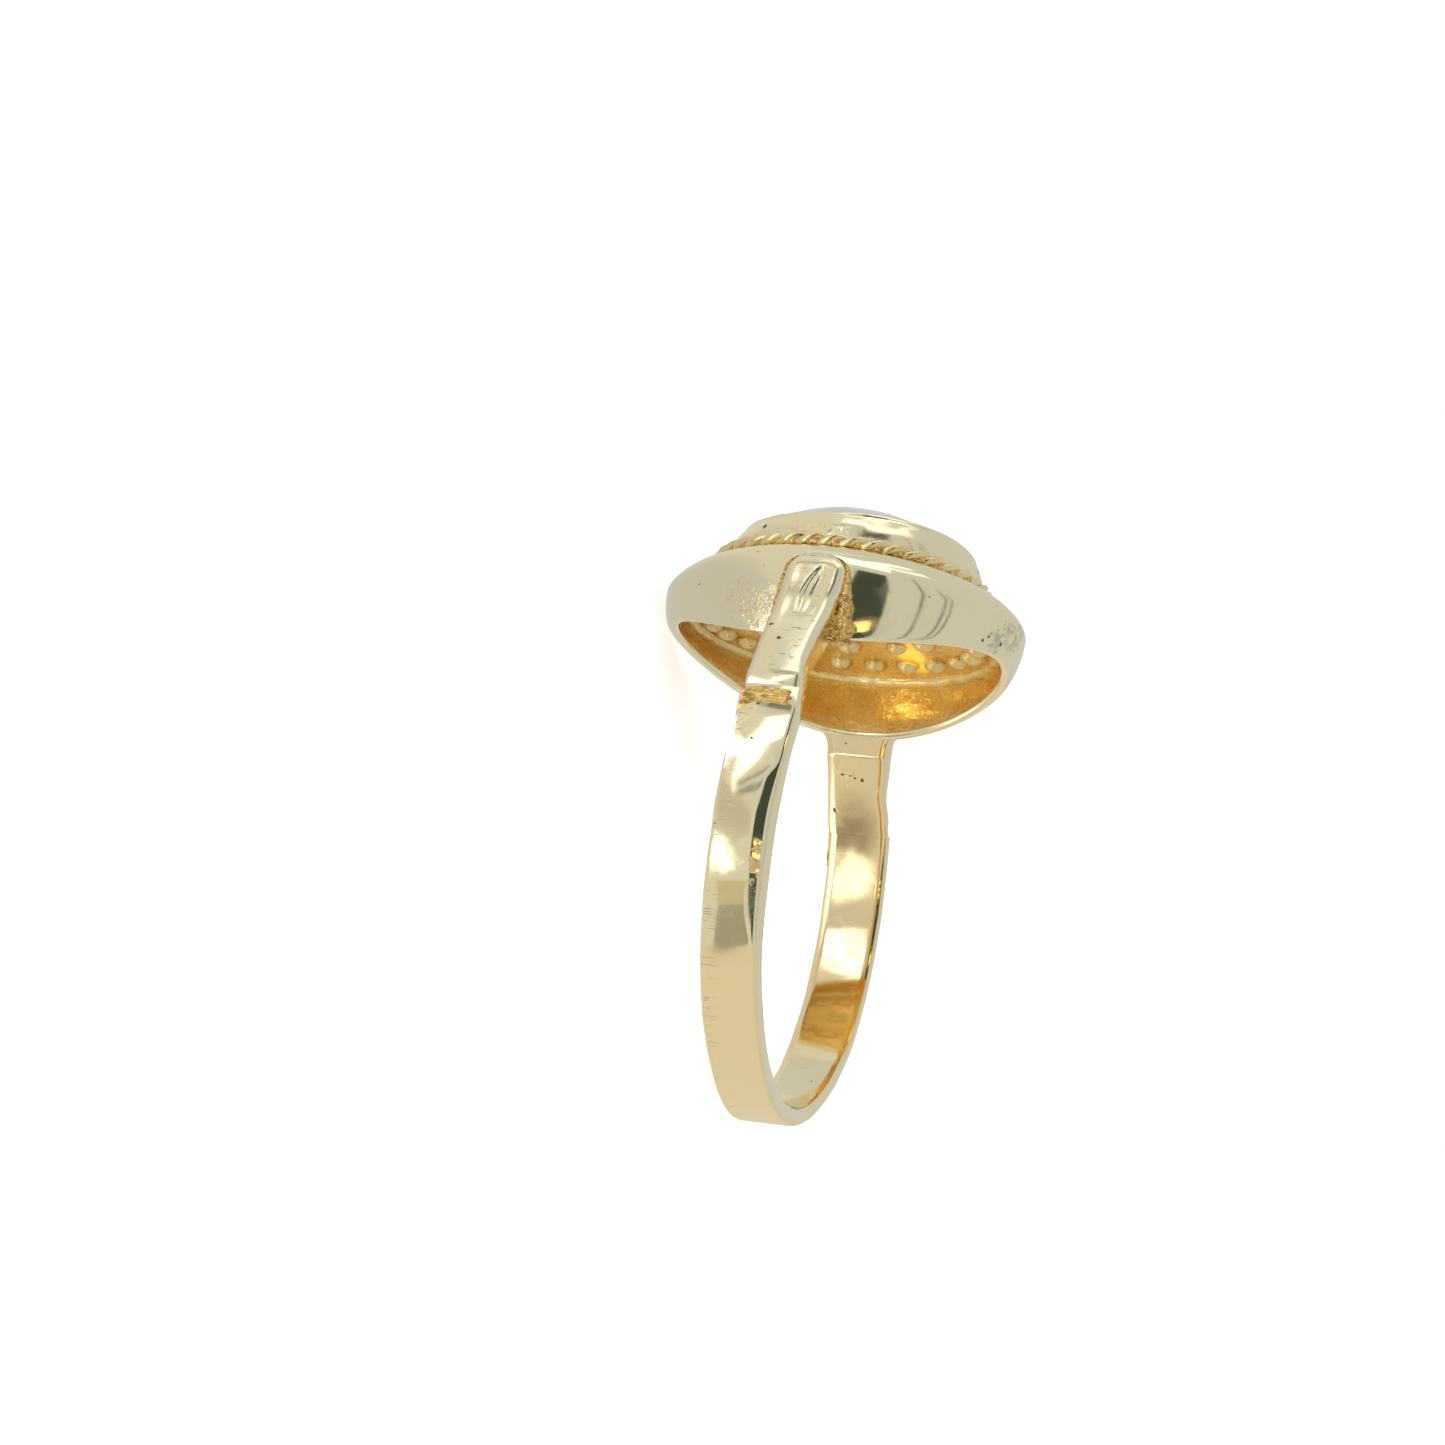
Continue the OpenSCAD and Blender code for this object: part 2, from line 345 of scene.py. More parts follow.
def make_scratch_group():
    """Fine hairlines left by polishing and by wear, in two crossing directions."""
    place, given, result = new_group("hairlines", {"Amount": 0.5}, ["Height", "Mask"])
    lines = []
    for factors, scale in [((1.0, 9.0, 9.0), 2.6), ((7.0, 1.2, 5.0), 2.1)]:
        fine = grain(stretch(place, factors), scale, 2.0, 0.6, 0.6)
        lines.append(remap(calc("ABSOLUTE", fine - 0.5), 0.0, 0.012, 1.0, 0.0))
    patches = remap(grain(place, 0.9, 2.0), 0.45, 0.62)
    mask = calc("MAXIMUM", lines[0], lines[1] * 0.6) * patches * given["Amount"]
    fill(result, {"Mask": mask, "Height": mask * -0.0005})
    return result.id_data


def make_pit_group():
    """Small casting pits, each a spot with a ragged edge."""
    place, given, result = new_group("cast_pits", {"Density": 0.3, "Size": 1.0}, ["Mask"])
    cells = place.tree.nodes.new("ShaderNodeTexVoronoi")
    cells = wires(fill(cells, {"Vector": place, "Scale": calc("DIVIDE", 1.5, given["Size"])}))
    chance = put(place.tree, "ShaderNodeSeparateColor", {0: cells["Color"]})
    chosen = calc("LESS_THAN", chance, given["Density"])
    away = grain(place, 9.0, 2.0) * 0.09 + cells["Distance"]
    fill(result, {"Mask": remap(away, 0.08, 0.13, 1.0, 0.0) * chosen})
    return result.id_data


def make_cast_group():
    """The rough skin of unpolished casting: lumps, grains and small bright facets."""
    inputs = {"Size": 1.0, "Depth": 0.02}
    place, given, result = new_group("cast_skin", inputs, ["Height", "Mask"])
    lumps = grain(place, calc("DIVIDE", 1.4, given["Size"]), 2.0, 0.5, 0.2)
    grains = grain(place, calc("DIVIDE", 4.5, given["Size"]), 3.0, 0.6, 0.4)
    height = (lumps * 1.3 + grains) * given["Depth"]
    fill(result, {"Height": height, "Mask": remap(grains, 0.42, 0.66)})
    return result.id_data


def make_splash_group():
    """Rough yellow solder where Near says so: its ragged mask, the shade and height of its grains."""
    inputs = {"Near": 0.0, "Depth": 0.014}
    place, given, result = new_group("solder_splash", inputs, ["Mask", "Shade", "Height"])
    cells = put(place.tree, "ShaderNodeTexVoronoi", {"Vector": place, "Scale": 8.0}, "Distance")
    mask = given["Near"] * remap(grain(place, 3.4, 4.0, 0.7), 0.42, 0.62)
    height = cells * given["Depth"] * mask * -1.0
    fill(result, {"Mask": mask, "Shade": remap(cells, 0.1, 0.6), "Height": height})
    return result.id_data


def make_mark_group():
    """One small mark, full in its middle, with an edge that Uneven makes ragged."""
    inputs = {"Centre": None, "Radius": 0.1, "Uneven": 0.0}
    place, given, result = new_group("ragged_mark", inputs, ["Mask"])
    away = place.vector("DISTANCE", given["Centre"]) / given["Radius"]
    fill(result, {"Mask": remap(away + given["Uneven"], 0.65, 1.15, 1.0, 0.0)})
    return result.id_data


HAND_FINISH = make_ripple_group()
HAIRLINES = make_scratch_group()
CAST_PITS = make_pit_group()
CAST_SKIN = make_cast_group()
SOLDER_SPLASH = make_splash_group()
RAGGED_MARK = make_mark_group()


# Materials


def new_material(name):
    """A material, the place in the ring's own frame in millimetres, and its shader."""
    made = bpy.data.materials.new(name)
    made.use_nodes = True
    back = RING.inverted()
    inputs = {"Vector": put(made.node_tree, "ShaderNodeTexCoord", output="Object")}
    inputs |= {"Location": back.translation, "Rotation": back.to_euler(), "Scale": (1 / MM,) * 3}
    place = put(made.node_tree, "ShaderNodeMapping", inputs)
    return made, place, made.node_tree.nodes["Principled BSDF"]


def marks(place, spots, ragged=0.35):
    """A mask of small marks, each given as its centre and its radius in the ring's frame."""
    uneven = (grain(place, 5.0, 3.0, 0.6) - 0.5) * (4 * ragged)
    mask = 0.0
    for *centre, radius in spots:
        mark = use_group(RAGGED_MARK, Place=place, Centre=centre, Radius=radius, Uneven=uneven)
        mask = calc("MAXIMUM", mask, mark["Mask"])
    return mask


def bump_of(height, strength=1.0):
    """A bump whose height is given in millimetres."""
    inputs = {"Height": height, "Distance": MM, "Strength": strength}
    return put(height.tree, "ShaderNodeBump", inputs)


def finish_metal(made, shader, colour, gloss, height):
    looks = {"Base Color": colour, "Roughness": gloss, "Normal": bump_of(height), "Metallic": 1.0}
    fill(shader, looks)
    return made


PALE_GOLD = (0.93, 0.86, 0.585, 1)
PAINTED_REFLECTION_GOLD = (0.93, 0.77, 0.46, 1)
WARM_GOLD = (0.94, 0.70, 0.29, 1)
PAINTED_WARM_REFLECTION_GOLD = (1.0, 0.83, 0.49, 1)
PAINTED_SHADE_GOLD = (0.45, 0.30, 0.12, 1)
SOOT = (0.075, 0.06, 0.04, 1)
GREEN_TARNISH = (0.34, 0.36, 0.27, 1)


def splashed(place, splashes, colour, height, gloss, depth=0.014):
    """Adds small splashes of rough yellow solder to a colour, a height and a roughness."""
    near = marks(place, splashes, 1.0)
    splash = use_group(SOLDER_SPLASH, Place=place, Near=near, Depth=depth)
    shade = tint(splash["Shade"], (0.94, 0.82, 0.50, 1), (0.86, 0.66, 0.30, 1))
    colour = tint(splash["Mask"] * 0.7, colour, shade)
    return colour, height + splash["Height"], gloss + splash["Mask"] * 0.16


def wear(place, pits, ripple, size, hairs, pit_share, pit_size):
    """A hand-finished face: the height of its ripples, its hairlines and its dark pits."""
    flow = use_group(HAND_FINISH, Place=place, Depth=ripple, Size=size)
    lines = use_group(HAIRLINES, Place=place, Amount=hairs)
    holes = use_group(CAST_PITS, Place=place, Density=pit_share, Size=pit_size)
    dark = calc("MAXIMUM", marks(place, pits), holes["Mask"])
    return flow["Height"] + lines["Height"], lines["Mask"], dark


def polished_gold(name, pits, stains=(), splashes=(), **look):
    """Pale polished gold with hairlines, pits, and tarnish and solder where the ring has them."""
    look = {"ripple": 0.006, "pit_share": 0.06, "rough": 0.075, "tone": PALE_GOLD, "nicks": 0.0} | look
    made, place, shader = new_material(name)
    height, lines, dark = wear(place, pits, look["ripple"], 1.0, 0.8, look["pit_share"], 0.8)
    if look["nicks"]:
        cuts = grain(stretch(place, (1.3, 8.0, 8.0)), 1.7, 2.0)
        middle = remap(calc("ABSOLUTE", part_of(place, "X")), 0.35, 0.75, 1.0, 0.0)
        dark = calc("MAXIMUM", dark, remap(cuts, 0.64, 0.70) * middle * look["nicks"])
    cloud = remap(grain(place, 0.5), 0.35, 0.7)
    warmer = [c * share for c, share in zip(look["tone"], (0.99, 0.94, 0.86))] + [1]
    colour = tint(cloud * 0.35, look["tone"], warmer)
    gloss = lines * 0.04 + cloud * 0.012 + look["rough"] + dark * 0.4
    if stains:
        mottled = remap(grain(place, 1.9, 4.0, 0.65), 0.38, 0.58)
        stain = marks(place, stains, 0.8) * mottled
        colour = tint(stain * 0.5, colour, GREEN_TARNISH)
        gloss = gloss + stain * 0.22
    colour = tint(dark * 0.9, colour, SOOT)
    height = height + dark * -0.03
    if splashes:
        colour, height, gloss = splashed(place, splashes, colour, height, gloss)
    return finish_metal(made, shader, colour, gloss, height)


def band_gold(name, pits, splashes):
    """The band: polished above, and worn rougher round its bottom, with cross scratches and a warmer
    painted reflection there.
    """
    made, place, shader = new_material(name)
    bumps, lines, dark = wear(place, pits, 0.006, 0.9, 0.9, 0.06, 0.7)
    height = part_of(place, "Z")
    reach = place.vector("MULTIPLY", (0.0, 1.0, 1.0)).vector("LENGTH")
    outside = remap(reach, finger_r + 0.35, finger_r + 0.6)
    inside = remap(reach, finger_r + 0.1, finger_r + 0.3, 1.0, 0.0)
    # Rougher wear round the bottom, which also takes a painted warm reflection in its colour.
    satin_and_painted_reflection = remap(height, -5.9, -5.2, 1.0, 0.0) * outside
    cuts = grain(stretch(place, (0.8, 14.0, 14.0)), 1.6, 2.0)
    cuts = remap(cuts, 0.655, 0.70) * remap(part_of(place, "X"), -0.2, -1.0) * outside
    dark = calc("MAXIMUM", dark, cuts * 0.55)
    cloud = remap(grain(place, 0.6), 0.35, 0.7)
    colour = tint(cloud * 0.35, PALE_GOLD, (0.92, 0.81, 0.5, 1))
    # Painted reflection: the inner face is yellower above its lowest part.
    colour = tint(inside * remap(height, -6.5, -4.5), colour, PAINTED_REFLECTION_GOLD)
    colour = tint(satin_and_painted_reflection * 0.8, colour, PAINTED_WARM_REFLECTION_GOLD)
    colour = tint(dark * 0.85, colour, SOOT)
    gloss = lines * 0.04 + satin_and_painted_reflection * 0.2 + 0.075 + dark * 0.4
    bumps = bumps + dark * -0.02
    colour, bumps, gloss = splashed(place, splashes, colour, bumps, gloss, 0.012)
    return finish_metal(made, shader, colour, gloss, bumps)


def cast_gold(name, colour_low, colour_high, rough, depth, size, soot=0.25, shade=0.35):
    """Unpolished deep gold, as it came from the mould, with painted shade darker towards one end of the
    hollow.
    """
    made, place, shader = new_material(name)
    skin = use_group(CAST_SKIN, Place=place, Size=size, Depth=depth)
    colour = tint(remap(grain(place, 0.7), 0.3, 0.7), colour_low, colour_high)
    # Painted shade: darker towards the hollow's end at negative x.
    colour = tint(remap(part_of(place, "X"), -2.5, -6.0, 0.0, shade), colour, PAINTED_SHADE_GOLD)
    low = remap(skin["Mask"], 0.0, 0.5, 1.0, 0.0)
    specks = remap(grain(place, 3.3), 0.62, 0.74) * soot
    colour = tint(low * specks, colour, SOOT)
    return finish_metal(made, shader, colour, low * 0.12 + rough, skin["Height"])


def solder_gold(name, pale, drawn=(1.0, 1.0, 1.0), depth=0.035, cell=4.5, hollow_share=0.55):
    """Solder that froze rough: yellow, with dark hollows between its grains or drawn-out folds."""
    made, place, shader = new_material(name)
    place = stretch(place, drawn)
    skin = use_group(CAST_SKIN, Place=place, Size=0.55, Depth=depth)
    crystal = put(place.tree, "ShaderNodeTexVoronoi", {"Vector": place, "Scale": cell}, "Distance")
    hollow = remap(crystal, 0.45, 0.75) * hollow_share
    colour = tint(skin["Mask"], (0.80, 0.50, 0.15, 1), pale)
    colour = tint(hollow, colour, (0.22, 0.12, 0.03, 1))
    height = crystal * -0.03 + skin["Height"]
    return finish_metal(made, shader, colour, hollow * 0.3 + 0.2, height)


def polished_opal(name):
    """Milky pale blue opal with soft flecks of colour below a polished face."""
    made, place, shader = new_material(name)
    milk = remap(grain(place, 0.35, 3.0, 0.5, 0.6), 0.3, 0.7)
    colour = tint(milk, (0.46, 0.68, 0.69, 1), (0.76, 0.88, 0.88, 1))
    cells = {"Vector": place, "Scale": 1.1, "Randomness": 1.0}
    flecks = put(place.tree, "ShaderNodeTexVoronoi", cells, "Color", feature="SMOOTH_F1")
    bright = tint(0.65, flecks, (0.55, 0.95, 0.8, 1))
    colour = tint(remap(grain(place, 0.9, 2.0), 0.5, 0.68) * 0.32, colour, bright)
    wear = use_group(HAIRLINES, Place=place, Amount=0.3)
    looks = {
        "Base Color": colour,
        "Roughness": wear["Mask"] * 0.12 + 0.07,
        "Normal": bump_of(grain(place, 2.4) * 0.010, 0.4),
        "IOR": 1.45,
        "Subsurface Weight": 0.35,
        "Subsurface Radius": (0.6 * MM, 0.9 * MM, 1.0 * MM),
        "Coat Weight": 0.6,
        "Coat Roughness": 0.03,
    }
    fill(shader, looks)
    return made


# Marks of the real ring, each a place in the ring's frame and a radius.
SHOULDER_PITS = [
    (-0.96, -7.16, 7.51, 0.10),
    (-0.85, -7.25, 7.45, 0.07),
    (-0.45, -7.51, 6.85, 0.10),
    (-0.97, -7.99, 5.97, 0.07),
    (0.55, -6.75, 8.3, 0.07),
    (0.62, -6.5, 8.75, 0.05),
    (0.2, 6.53, 6.18, 0.07),
    (-0.1, 6.5, 6.25, 0.05),
    (-0.3, 6.45, 6.3, 0.05),
    (-0.62, 6.4, 6.3, 0.07),
    (-0.9, 7.35, 5.05, 0.13),
]
BAND_PITS = [
    (-0.33, -8.95, 3.66, 0.10),
    (-0.2, -9.4, 2.1, 0.05),
    (0.3, -6.9, -6.7, 0.05),
    (-0.84, 7.56, 4.88, 0.15),
    (0.45, 6.15, -6.58, 0.05),
]
SKIRT_PITS = [
    (2.8, -5.42, 8.7, 0.05),
    (3.0, -5.35, 9.1, 0.04),
    (3.9, -4.95, 8.8, 0.05),
    (4.9, -4.30, 9.3, 0.04),
    (6.35, -2.5, 9.5, 0.06),
    (-4.9, -4.25, 9.9, 0.05),
    (-4.0, -4.85, 9.7, 0.04),
    (6.2, -2.68, 9.26, 0.07),
    (6.71, -1.72, 9.52, 0.10),
    (6.75, -1.9, 10.9, 0.06),
    (6.3, -2.9, 9.9, 0.04),
    (-5.7, -3.6, 10.3, 0.04),
]
RIM_TARNISH = [(6.95, -1.3, 9.9, 0.60), (6.60, -2.0, 9.5, 0.45), (7.08, -0.6, 10.3, 0.45)]
BEZEL_PITS = [(-3.08, -3.15, 12.99, 0.12), (-2.7, -3.4, 13.1, 0.06), (5.0, -0.4, 12.9, 0.10)]
# Splashes of solder, given the same way.
SKIRT_SPLASHES = [
    (-2.29, -5.49, 8.78, 0.80),
    (-3.00, -5.25, 9.40, 0.50),
    (-1.70, -5.60, 8.20, 0.55),
    (-1.55, -5.60, 9.30, 0.35),
]
BEZEL_SPLASHES = [
    (-1.39, -3.97, 12.55, 0.50),
    (-0.60, -4.10, 12.45, 0.50),
    (0.20, -4.13, 12.40, 0.45),
    (-2.20, -3.75, 12.4, 0.35),
]
FAR_SPLASHES = [(-0.50, 6.30, 6.45, 0.45), (-0.30, 6.05, 6.75, 0.30)]
BEVEL_SPLASHES = [
    (0.85, -9.40, -2.1, 0.24),
    (0.88, -9.25, -2.7, 0.28),
    (0.86, -9.05, -3.3, 0.24),
    (0.30, -9.25, -2.7, 0.16),
]

SHOULDER_GOLD = polished_gold("gold_shoulder", SHOULDER_PITS, rough=0.15, nicks=0.6)
# The far shoulder is the same gold, given a yellower tone as painted reflection.
FAR_SHOULDER_GOLD = polished_gold(
    "gold_shoulder_far", SHOULDER_PITS, (), FAR_SPLASHES, tone=PAINTED_REFLECTION_GOLD
)
BAND_GOLD = band_gold("gold_band", BAND_PITS, BEVEL_SPLASHES)
SKIRT_GOLD = polished_gold(
    "gold_skirt", SKIRT_PITS, RIM_TARNISH, SKIRT_SPLASHES, ripple=0.004, pit_share=0.11
)
BEZEL_GOLD = polished_gold("gold_bezel", BEZEL_PITS, (), BEZEL_SPLASHES, ripple=0.03, rough=0.13)
# Cast gold: the colour of its dark and pale patches, its roughness, the depth and size of its skin.
# Painted shade darkens the lining, plate, ledge and dots towards one end of the hollow; shade=0 leaves the
# rope without it.
ROPE_GOLD = cast_gold("gold_rope", (0.90, 0.72, 0.35, 1), (0.93, 0.80, 0.47, 1), 0.16, 0.006, 0.5, shade=0)
LINING_GOLD = cast_gold("gold_lining", (0.84, 0.53, 0.18, 1), WARM_GOLD, 0.27, 0.027, 1.0)
PLATE_GOLD = cast_gold("gold_plate", (0.84, 0.53, 0.16, 1), (0.94, 0.70, 0.26, 1), 0.25, 0.025, 1.1)
LEDGE_GOLD = cast_gold("gold_ledge", (0.87, 0.64, 0.26, 1), (0.89, 0.73, 0.37, 1), 0.2, 0.008, 1.0)
DOT_GOLD = cast_gold("gold_dots", (0.82, 0.60, 0.24, 1), (0.87, 0.68, 0.30, 1), 0.22, 0.008, 0.7)
SOLDER_GOLD = solder_gold("gold_solder", (0.93, 0.72, 0.33, 1), cell=8.0)
SEAM_GOLD = solder_gold("gold_seam", (0.90, 0.71, 0.28, 1), (0.45, 1.6, 1.6), 0.03, 1.6, 0.85)
OPAL = polished_opal("opal_polished")


# Meshes


def finish_piece(piece, material, node, sharp=50):
    """Closes poles, turns faces outwards, shades them and puts the piece on the body."""
    mesh = piece.data
    shape = bmesh.new()
    shape.from_mesh(mesh)
    bmesh.ops.remove_doubles(shape, verts=shape.verts, dist=0.002 * MM)
    bmesh.ops.recalc_face_normals(shape, faces=shape.faces)
    shape.to_mesh(mesh)
    shape.free()
    mesh.shade_smooth()
    mesh.set_sharp_from_angle(angle=math.radians(sharp))
    mesh.materials.clear()
    mesh.materials.append(material)
    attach(piece, "root")
    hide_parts(node)


def loft(name, rings, material, node="ring_mount", closed=False, sharp=50):
    """A skin over rings of points in the ring's frame. Open ends are capped, closed ones meet."""
    count = len(rings[0])
    points = [RING @ Vector(p) for ring in rings for p in ring]
    faces = []
    for i in range(len(rings) if closed else len(rings) - 1):
        a = i * count
        b = ((i + 1) % len(rings)) * count
        for j in range(count):
            k = (j + 1) % count
            faces.append((a + j, a + k, b + k, b + j))
    if not closed:
        for start in (0, (len(rings) - 1) * count):
            ring = list(range(start, start + count))
            points.append(sum((points[v] for v in ring), Vector()) / count)
            faces += [(v, ring[(j + 1) % count], len(points) - 1) for j, v in enumerate(ring)]
    mesh = bpy.data.meshes.new(name)
    mesh.from_pydata(points, [], faces)
    finish_piece(add_object(name, mesh), material, node, sharp)


def bevel_drop(f, start, soft=0.07):
    """How far the outer face has dropped, along the finger, past where its bevel starts."""
    past = f - start
    if past <= 0:
        return 0.0
    if past < soft:
        return bevel_slope * past**2 / (2 * soft)
    return bevel_slope * (past - soft / 2) + 0.12 * (past - soft) ** 2


def limb_outline(left, right, thick, soft_left, soft_right, bevel=no_bevel, crown=0.0, hollow=None):
    """The section of band or shoulder as (along the finger, out from the inner face) points."""
    quarter = [math.pi / 2 * share for share in shares(6)]
    flat = left + right - soft_left - soft_right
    places = [-left + soft_left * (1 - math.cos(a)) for a in quarter]
    places += [-left + soft_left + flat * share for share in shares(22)[1:-1]]
    places += [right - soft_right * (1 - math.sin(a)) for a in quarter]
    outline = []
    for f in places:
        inside_l = clamp01((-left + soft_left - f) / soft_left)
        inside_r = clamp01((f - right + soft_right) / soft_right)
        drop = soft_left * (1 - math.sqrt(1 - inside_l**2))
        drop += soft_right * (1 - math.sqrt(1 - inside_r**2))
        drop += bevel_drop(f, bevel) + crown * f**2
        if hollow:
            drop += hollow(f)
        outline.append((f, thick - drop))
    r = inner_round
    outline += [(right, r), (right - 0.3 * r, 0.3 * r), (right - r, 0)]
    outline += [(right - r - (left + right - 2 * r) * share, 0) for share in shares(8)[1:-1]]
    outline += [(r - left, 0), (0.3 * r - left, 0.3 * r), (-left, r)]
    return outline


def band_outer(angle):
    """How far the band's outer face is from the finger's centre, at an angle from its lowest point."""
    z = -math.cos(angle)
    round_r = finger_r + band_t - band_thin * (1 + z)
    return round_r + band_end_out * ease(0.25, 0.45, z)


def make_band():
    """The round part, from the near seam down round the bottom and up to the far seam."""
    reach = math.pi - math.acos(band_end_z / finger_r)
    rings = []
    for share in shares(260):
        angle = reach * (2 * share - 1)
        place = (0, math.sin(angle) * finger_r, -math.cos(angle) * finger_r)
        degrees = math.degrees(angle)
        left = half_band + 0.022 * wobble(place, 1.1, 3)
        right = half_band + 0.018 * wobble(place, 1.4, 8)
        right += along(band_right, degrees)
        soft_left = edge_soft + 0.16 * hump(-20, 14, degrees)
        bevel, crown = along(band_bevel, degrees), along(band_crown, degrees)
        thick = band_outer(angle) - finger_r + 0.008 * wobble(place, 1.8, 5)
        soft_right = side_round + along(band_soft, degrees)
        outline = limb_outline(left, right, thick, soft_left, soft_right, bevel, crown)
        out = (math.sin(angle), -math.cos(angle))
        rings.append([(f, out[0] * (finger_r + h), out[1] * (finger_r + h)) for f, h in outline])
    loft("band", rings, BAND_GOLD)


def shoulder_outer_path():
    start, end = Vector(slope_start), Vector(slope_end)
    centre = start - Vector((math.cos(slope_way), math.sin(slope_way))) * lip_r
    ways = [slope_way * share for share in shares(5)]
    path = [centre + Vector((math.cos(a), math.sin(a))) * lip_r for a in ways]
    path += [start + (end - start) * share for share in shares(4)[1:]]
    return path + [Vector(p) for p in (*tab_path, tab_top)]


def shoulder_inner(outer, far=False):
    """The point of the inner face that stands behind a point of the outer face.

    The far limb's inner face runs on over the rim, up to the lining.
    """
    height, (start_depth, start_z) = outer[1], inner_start
    if height < behind_z:
        inner_z = seam_z + (start_z - seam_z) * (height - seam_z) / (behind_z - seam_z)
        return Vector((math.sqrt(finger_r**2 - inner_z**2), inner_z))
    inner_z = start_z + (inner_top_z - start_z) * (height - behind_z) / (tab_top[1] - behind_z)
    slope, least = far_lean if far else near_lean
    depth = max(start_depth - (inner_z - start_z) * slope, least)
    if far:
        depth += 0.12 * ease(7.95, 8.1, inner_z)
    return Vector((depth - 0.5 * ease(plate_z, 11, inner_z), inner_z))


def tab_hollows(place_z):
    """How deep the tab's face lies at a height: its dished panel, and the leaf-shaped hollow in it."""
    dished = panel_deep * ease(6.6, 8.6, place_z) * (1 - ease(10.35, 10.85, place_z))
    middle = along(leaf_bend, place_z)
    along_leaf = (place_z - leaf_z) / leaf_half[1]
    half = max(leaf_half[0] * (1 - abs(along_leaf) ** 2.2), 1e-4)
    depth_here = leaf_deep * (1 - ease(0.6, 1.0, abs(along_leaf)))

    def depth(f):
        panel = dished * (1 - ease(0.50, 0.86, abs(f)))
        across = (f - middle) / half
        leaf = ease(-1.0, -0.55, across) * (1 - ease(0.15, 1.1, across))
        fold = 0.5 * hump(-0.15, 0.2, across)
        return panel + depth_here * leaf * (1 - fold)

    return depth


def rim_flare(height, start, wide):
    """How far a limb's edge flares in a quarter circle, from a height up to the skirt's rim."""
    rim_here = 8.2
    up = clamp01((height - start) / (rim_here - start))
    return wide * (1 - math.sqrt(1 - up**2)) * (1 - ease(rim_here, rim_here + 0.35, height))


def make_shoulder(name, side):
    """A shoulder and its tab. side is -1 for the near one and 1 for the far one."""
    path = shoulder_outer_path()
    rings = []
    near = side < 0
    for share in shares(190):
        outer = point_on(path, 1 - (1 - share) ** 1.35)
        inner = shoulder_inner(outer, not near)
        depth, height = outer
        gone = clamp01((tab_top[1] - 0.02 - height) / 0.95)
        shrink = max((1 - (1 - gone) ** 2.3) ** (1 / 2.3), 0.12)
        left, right = along(limb_left, height), along(limb_right, height)
        if not near:
            left += rim_flare(height, 7.45, 0.45)
            right += far_wider + rim_flare(height, 7.85, 0.18)
        spot = (0, depth * side, height)
        left += 0.02 * wobble(spot, 1.2, 11)
        right += 0.02 * wobble(spot, 1.0, 17)
        out = outer - inner
        thick = out.length
        out.normalize()
        left, right = left * shrink, right * shrink
        soft_left = min(along(limb_soft_left, height), left * 0.5, thick * 0.8)
        soft_right = min(along(limb_soft_right, height), right * 0.5, thick * 0.8)
        face = no_bevel, along(limb_crown, height), tab_hollows(height)
        outline = limb_outline(left, right, thick, soft_left, soft_right, *face)
        places = [(f, inner + out * h) for f, h in outline]
        rings.append([(f, side * place.x, place.y) for f, place in places])
    loft(name, rings, SHOULDER_GOLD if near else FAR_SHOULDER_GOLD)


def make_seam(name, side):
    """The solder that fills the groove between band and shoulder, a little proud and uneven."""
    low, high = [math.asin(height / (finger_r + over)) for height, over in seam_edges]
    rings = []
    for share in shares(40):
        angle = low + (high - low) * share
        fade = min(1, 4 * share, 4 * (1 - share))
        thick = 0.60 + 0.13 * fade - 0.13 * ease(0.45, 0.85, share)
        half = half_band + 0.02 * fade
        arc = seam_r * angle
        ring = []
        for f, h in limb_outline(half + 0.04, half - 0.06, thick, 0.18, 0.26):
            wave = 0.010 * wobble((f, 0, side), 0.5, 31) * (1 - share)
            rough = wobble((f * 1.2, arc * 3, side), 0.42, 21)
            ridge = 0.04 * math.sin(arc * 19 + 1.8 * wobble((f, angle * 9, side), 0.6, 23))
            sunk = 0.14 * ease(0.66, 0.90, f) if side < 0 else 0
            h = max(h, 0.1) + ((0.03 * rough + ridge * fade - sunk) if h > 0.3 else 0)
            a = angle + wave + 0.022 * (0.5 - (f / half_band) ** 2)
            ring.append((f, side * math.cos(a) * (finger_r + h), math.sin(a) * (finger_r + h)))
        rings.append(ring)
    loft(name, rings, SEAM_GOLD)


def rim_drop(depth, share=1.0):
    """How far the rim, or a share of it, drops over the finger at a depth."""
    return share * (rim_curve_r - math.sqrt(rim_curve_r**2 - depth**2))


def skirt_profile():
    """Stations of the skirt's section from its top edge over its rim: half sizes, height, drop."""
    stations = []
    for share in shares(26):
        s = math.pi / 2 * share
        out = math.sin(s) ** dome_out
        up = max(math.cos(s), 0) ** dome_up
        half_l = skirt_top[0] + (skirt_wide[0] - skirt_top[0]) * out
        half_w = skirt_top[1] + (skirt_wide[1] - skirt_top[1]) * out
        height = skirt_wide_z + (skirt_top_z - skirt_wide_z) * up
        stations.append((half_l, half_w, height, dome_share * (1 - up)))
    return stations + [tuple(point_on(skirt_wall, share)) for share in shares(36)[1:]]


def skirt_ring(station, around, uneven=0.0, seed=0):
    """A ring of points at a station of the skirt, rippled by a little unevenness."""
    half_l, half_w, height, share = station
    ring = []
    for x, y, z in oval(half_l, half_w, height, around):
        grow = 1 + uneven * wobble((x, y, z), 2.2, seed) / half_w
        ring.append((x * grow, y * grow, z - rim_drop(y * grow, share)))
    return ring


def make_skirt():
    """The oval dish: from its throat down the outside, over the rim and up inside to the plate."""
    around = 220
    rings = [skirt_ring((*skirt_throat, skirt_top_z - 0.05, 0), around)]
    rings += [skirt_ring(station, around, 0.012, 41) for station in skirt_profile()]
    rings.append(skirt_ring((6.5, 5.5, plate_z + 0.3, 0), around))
    rings.append(skirt_ring((*skirt_throat, plate_z + 0.5, 0), around))
    loft("skirt", rings, SKIRT_GOLD, closed=True)


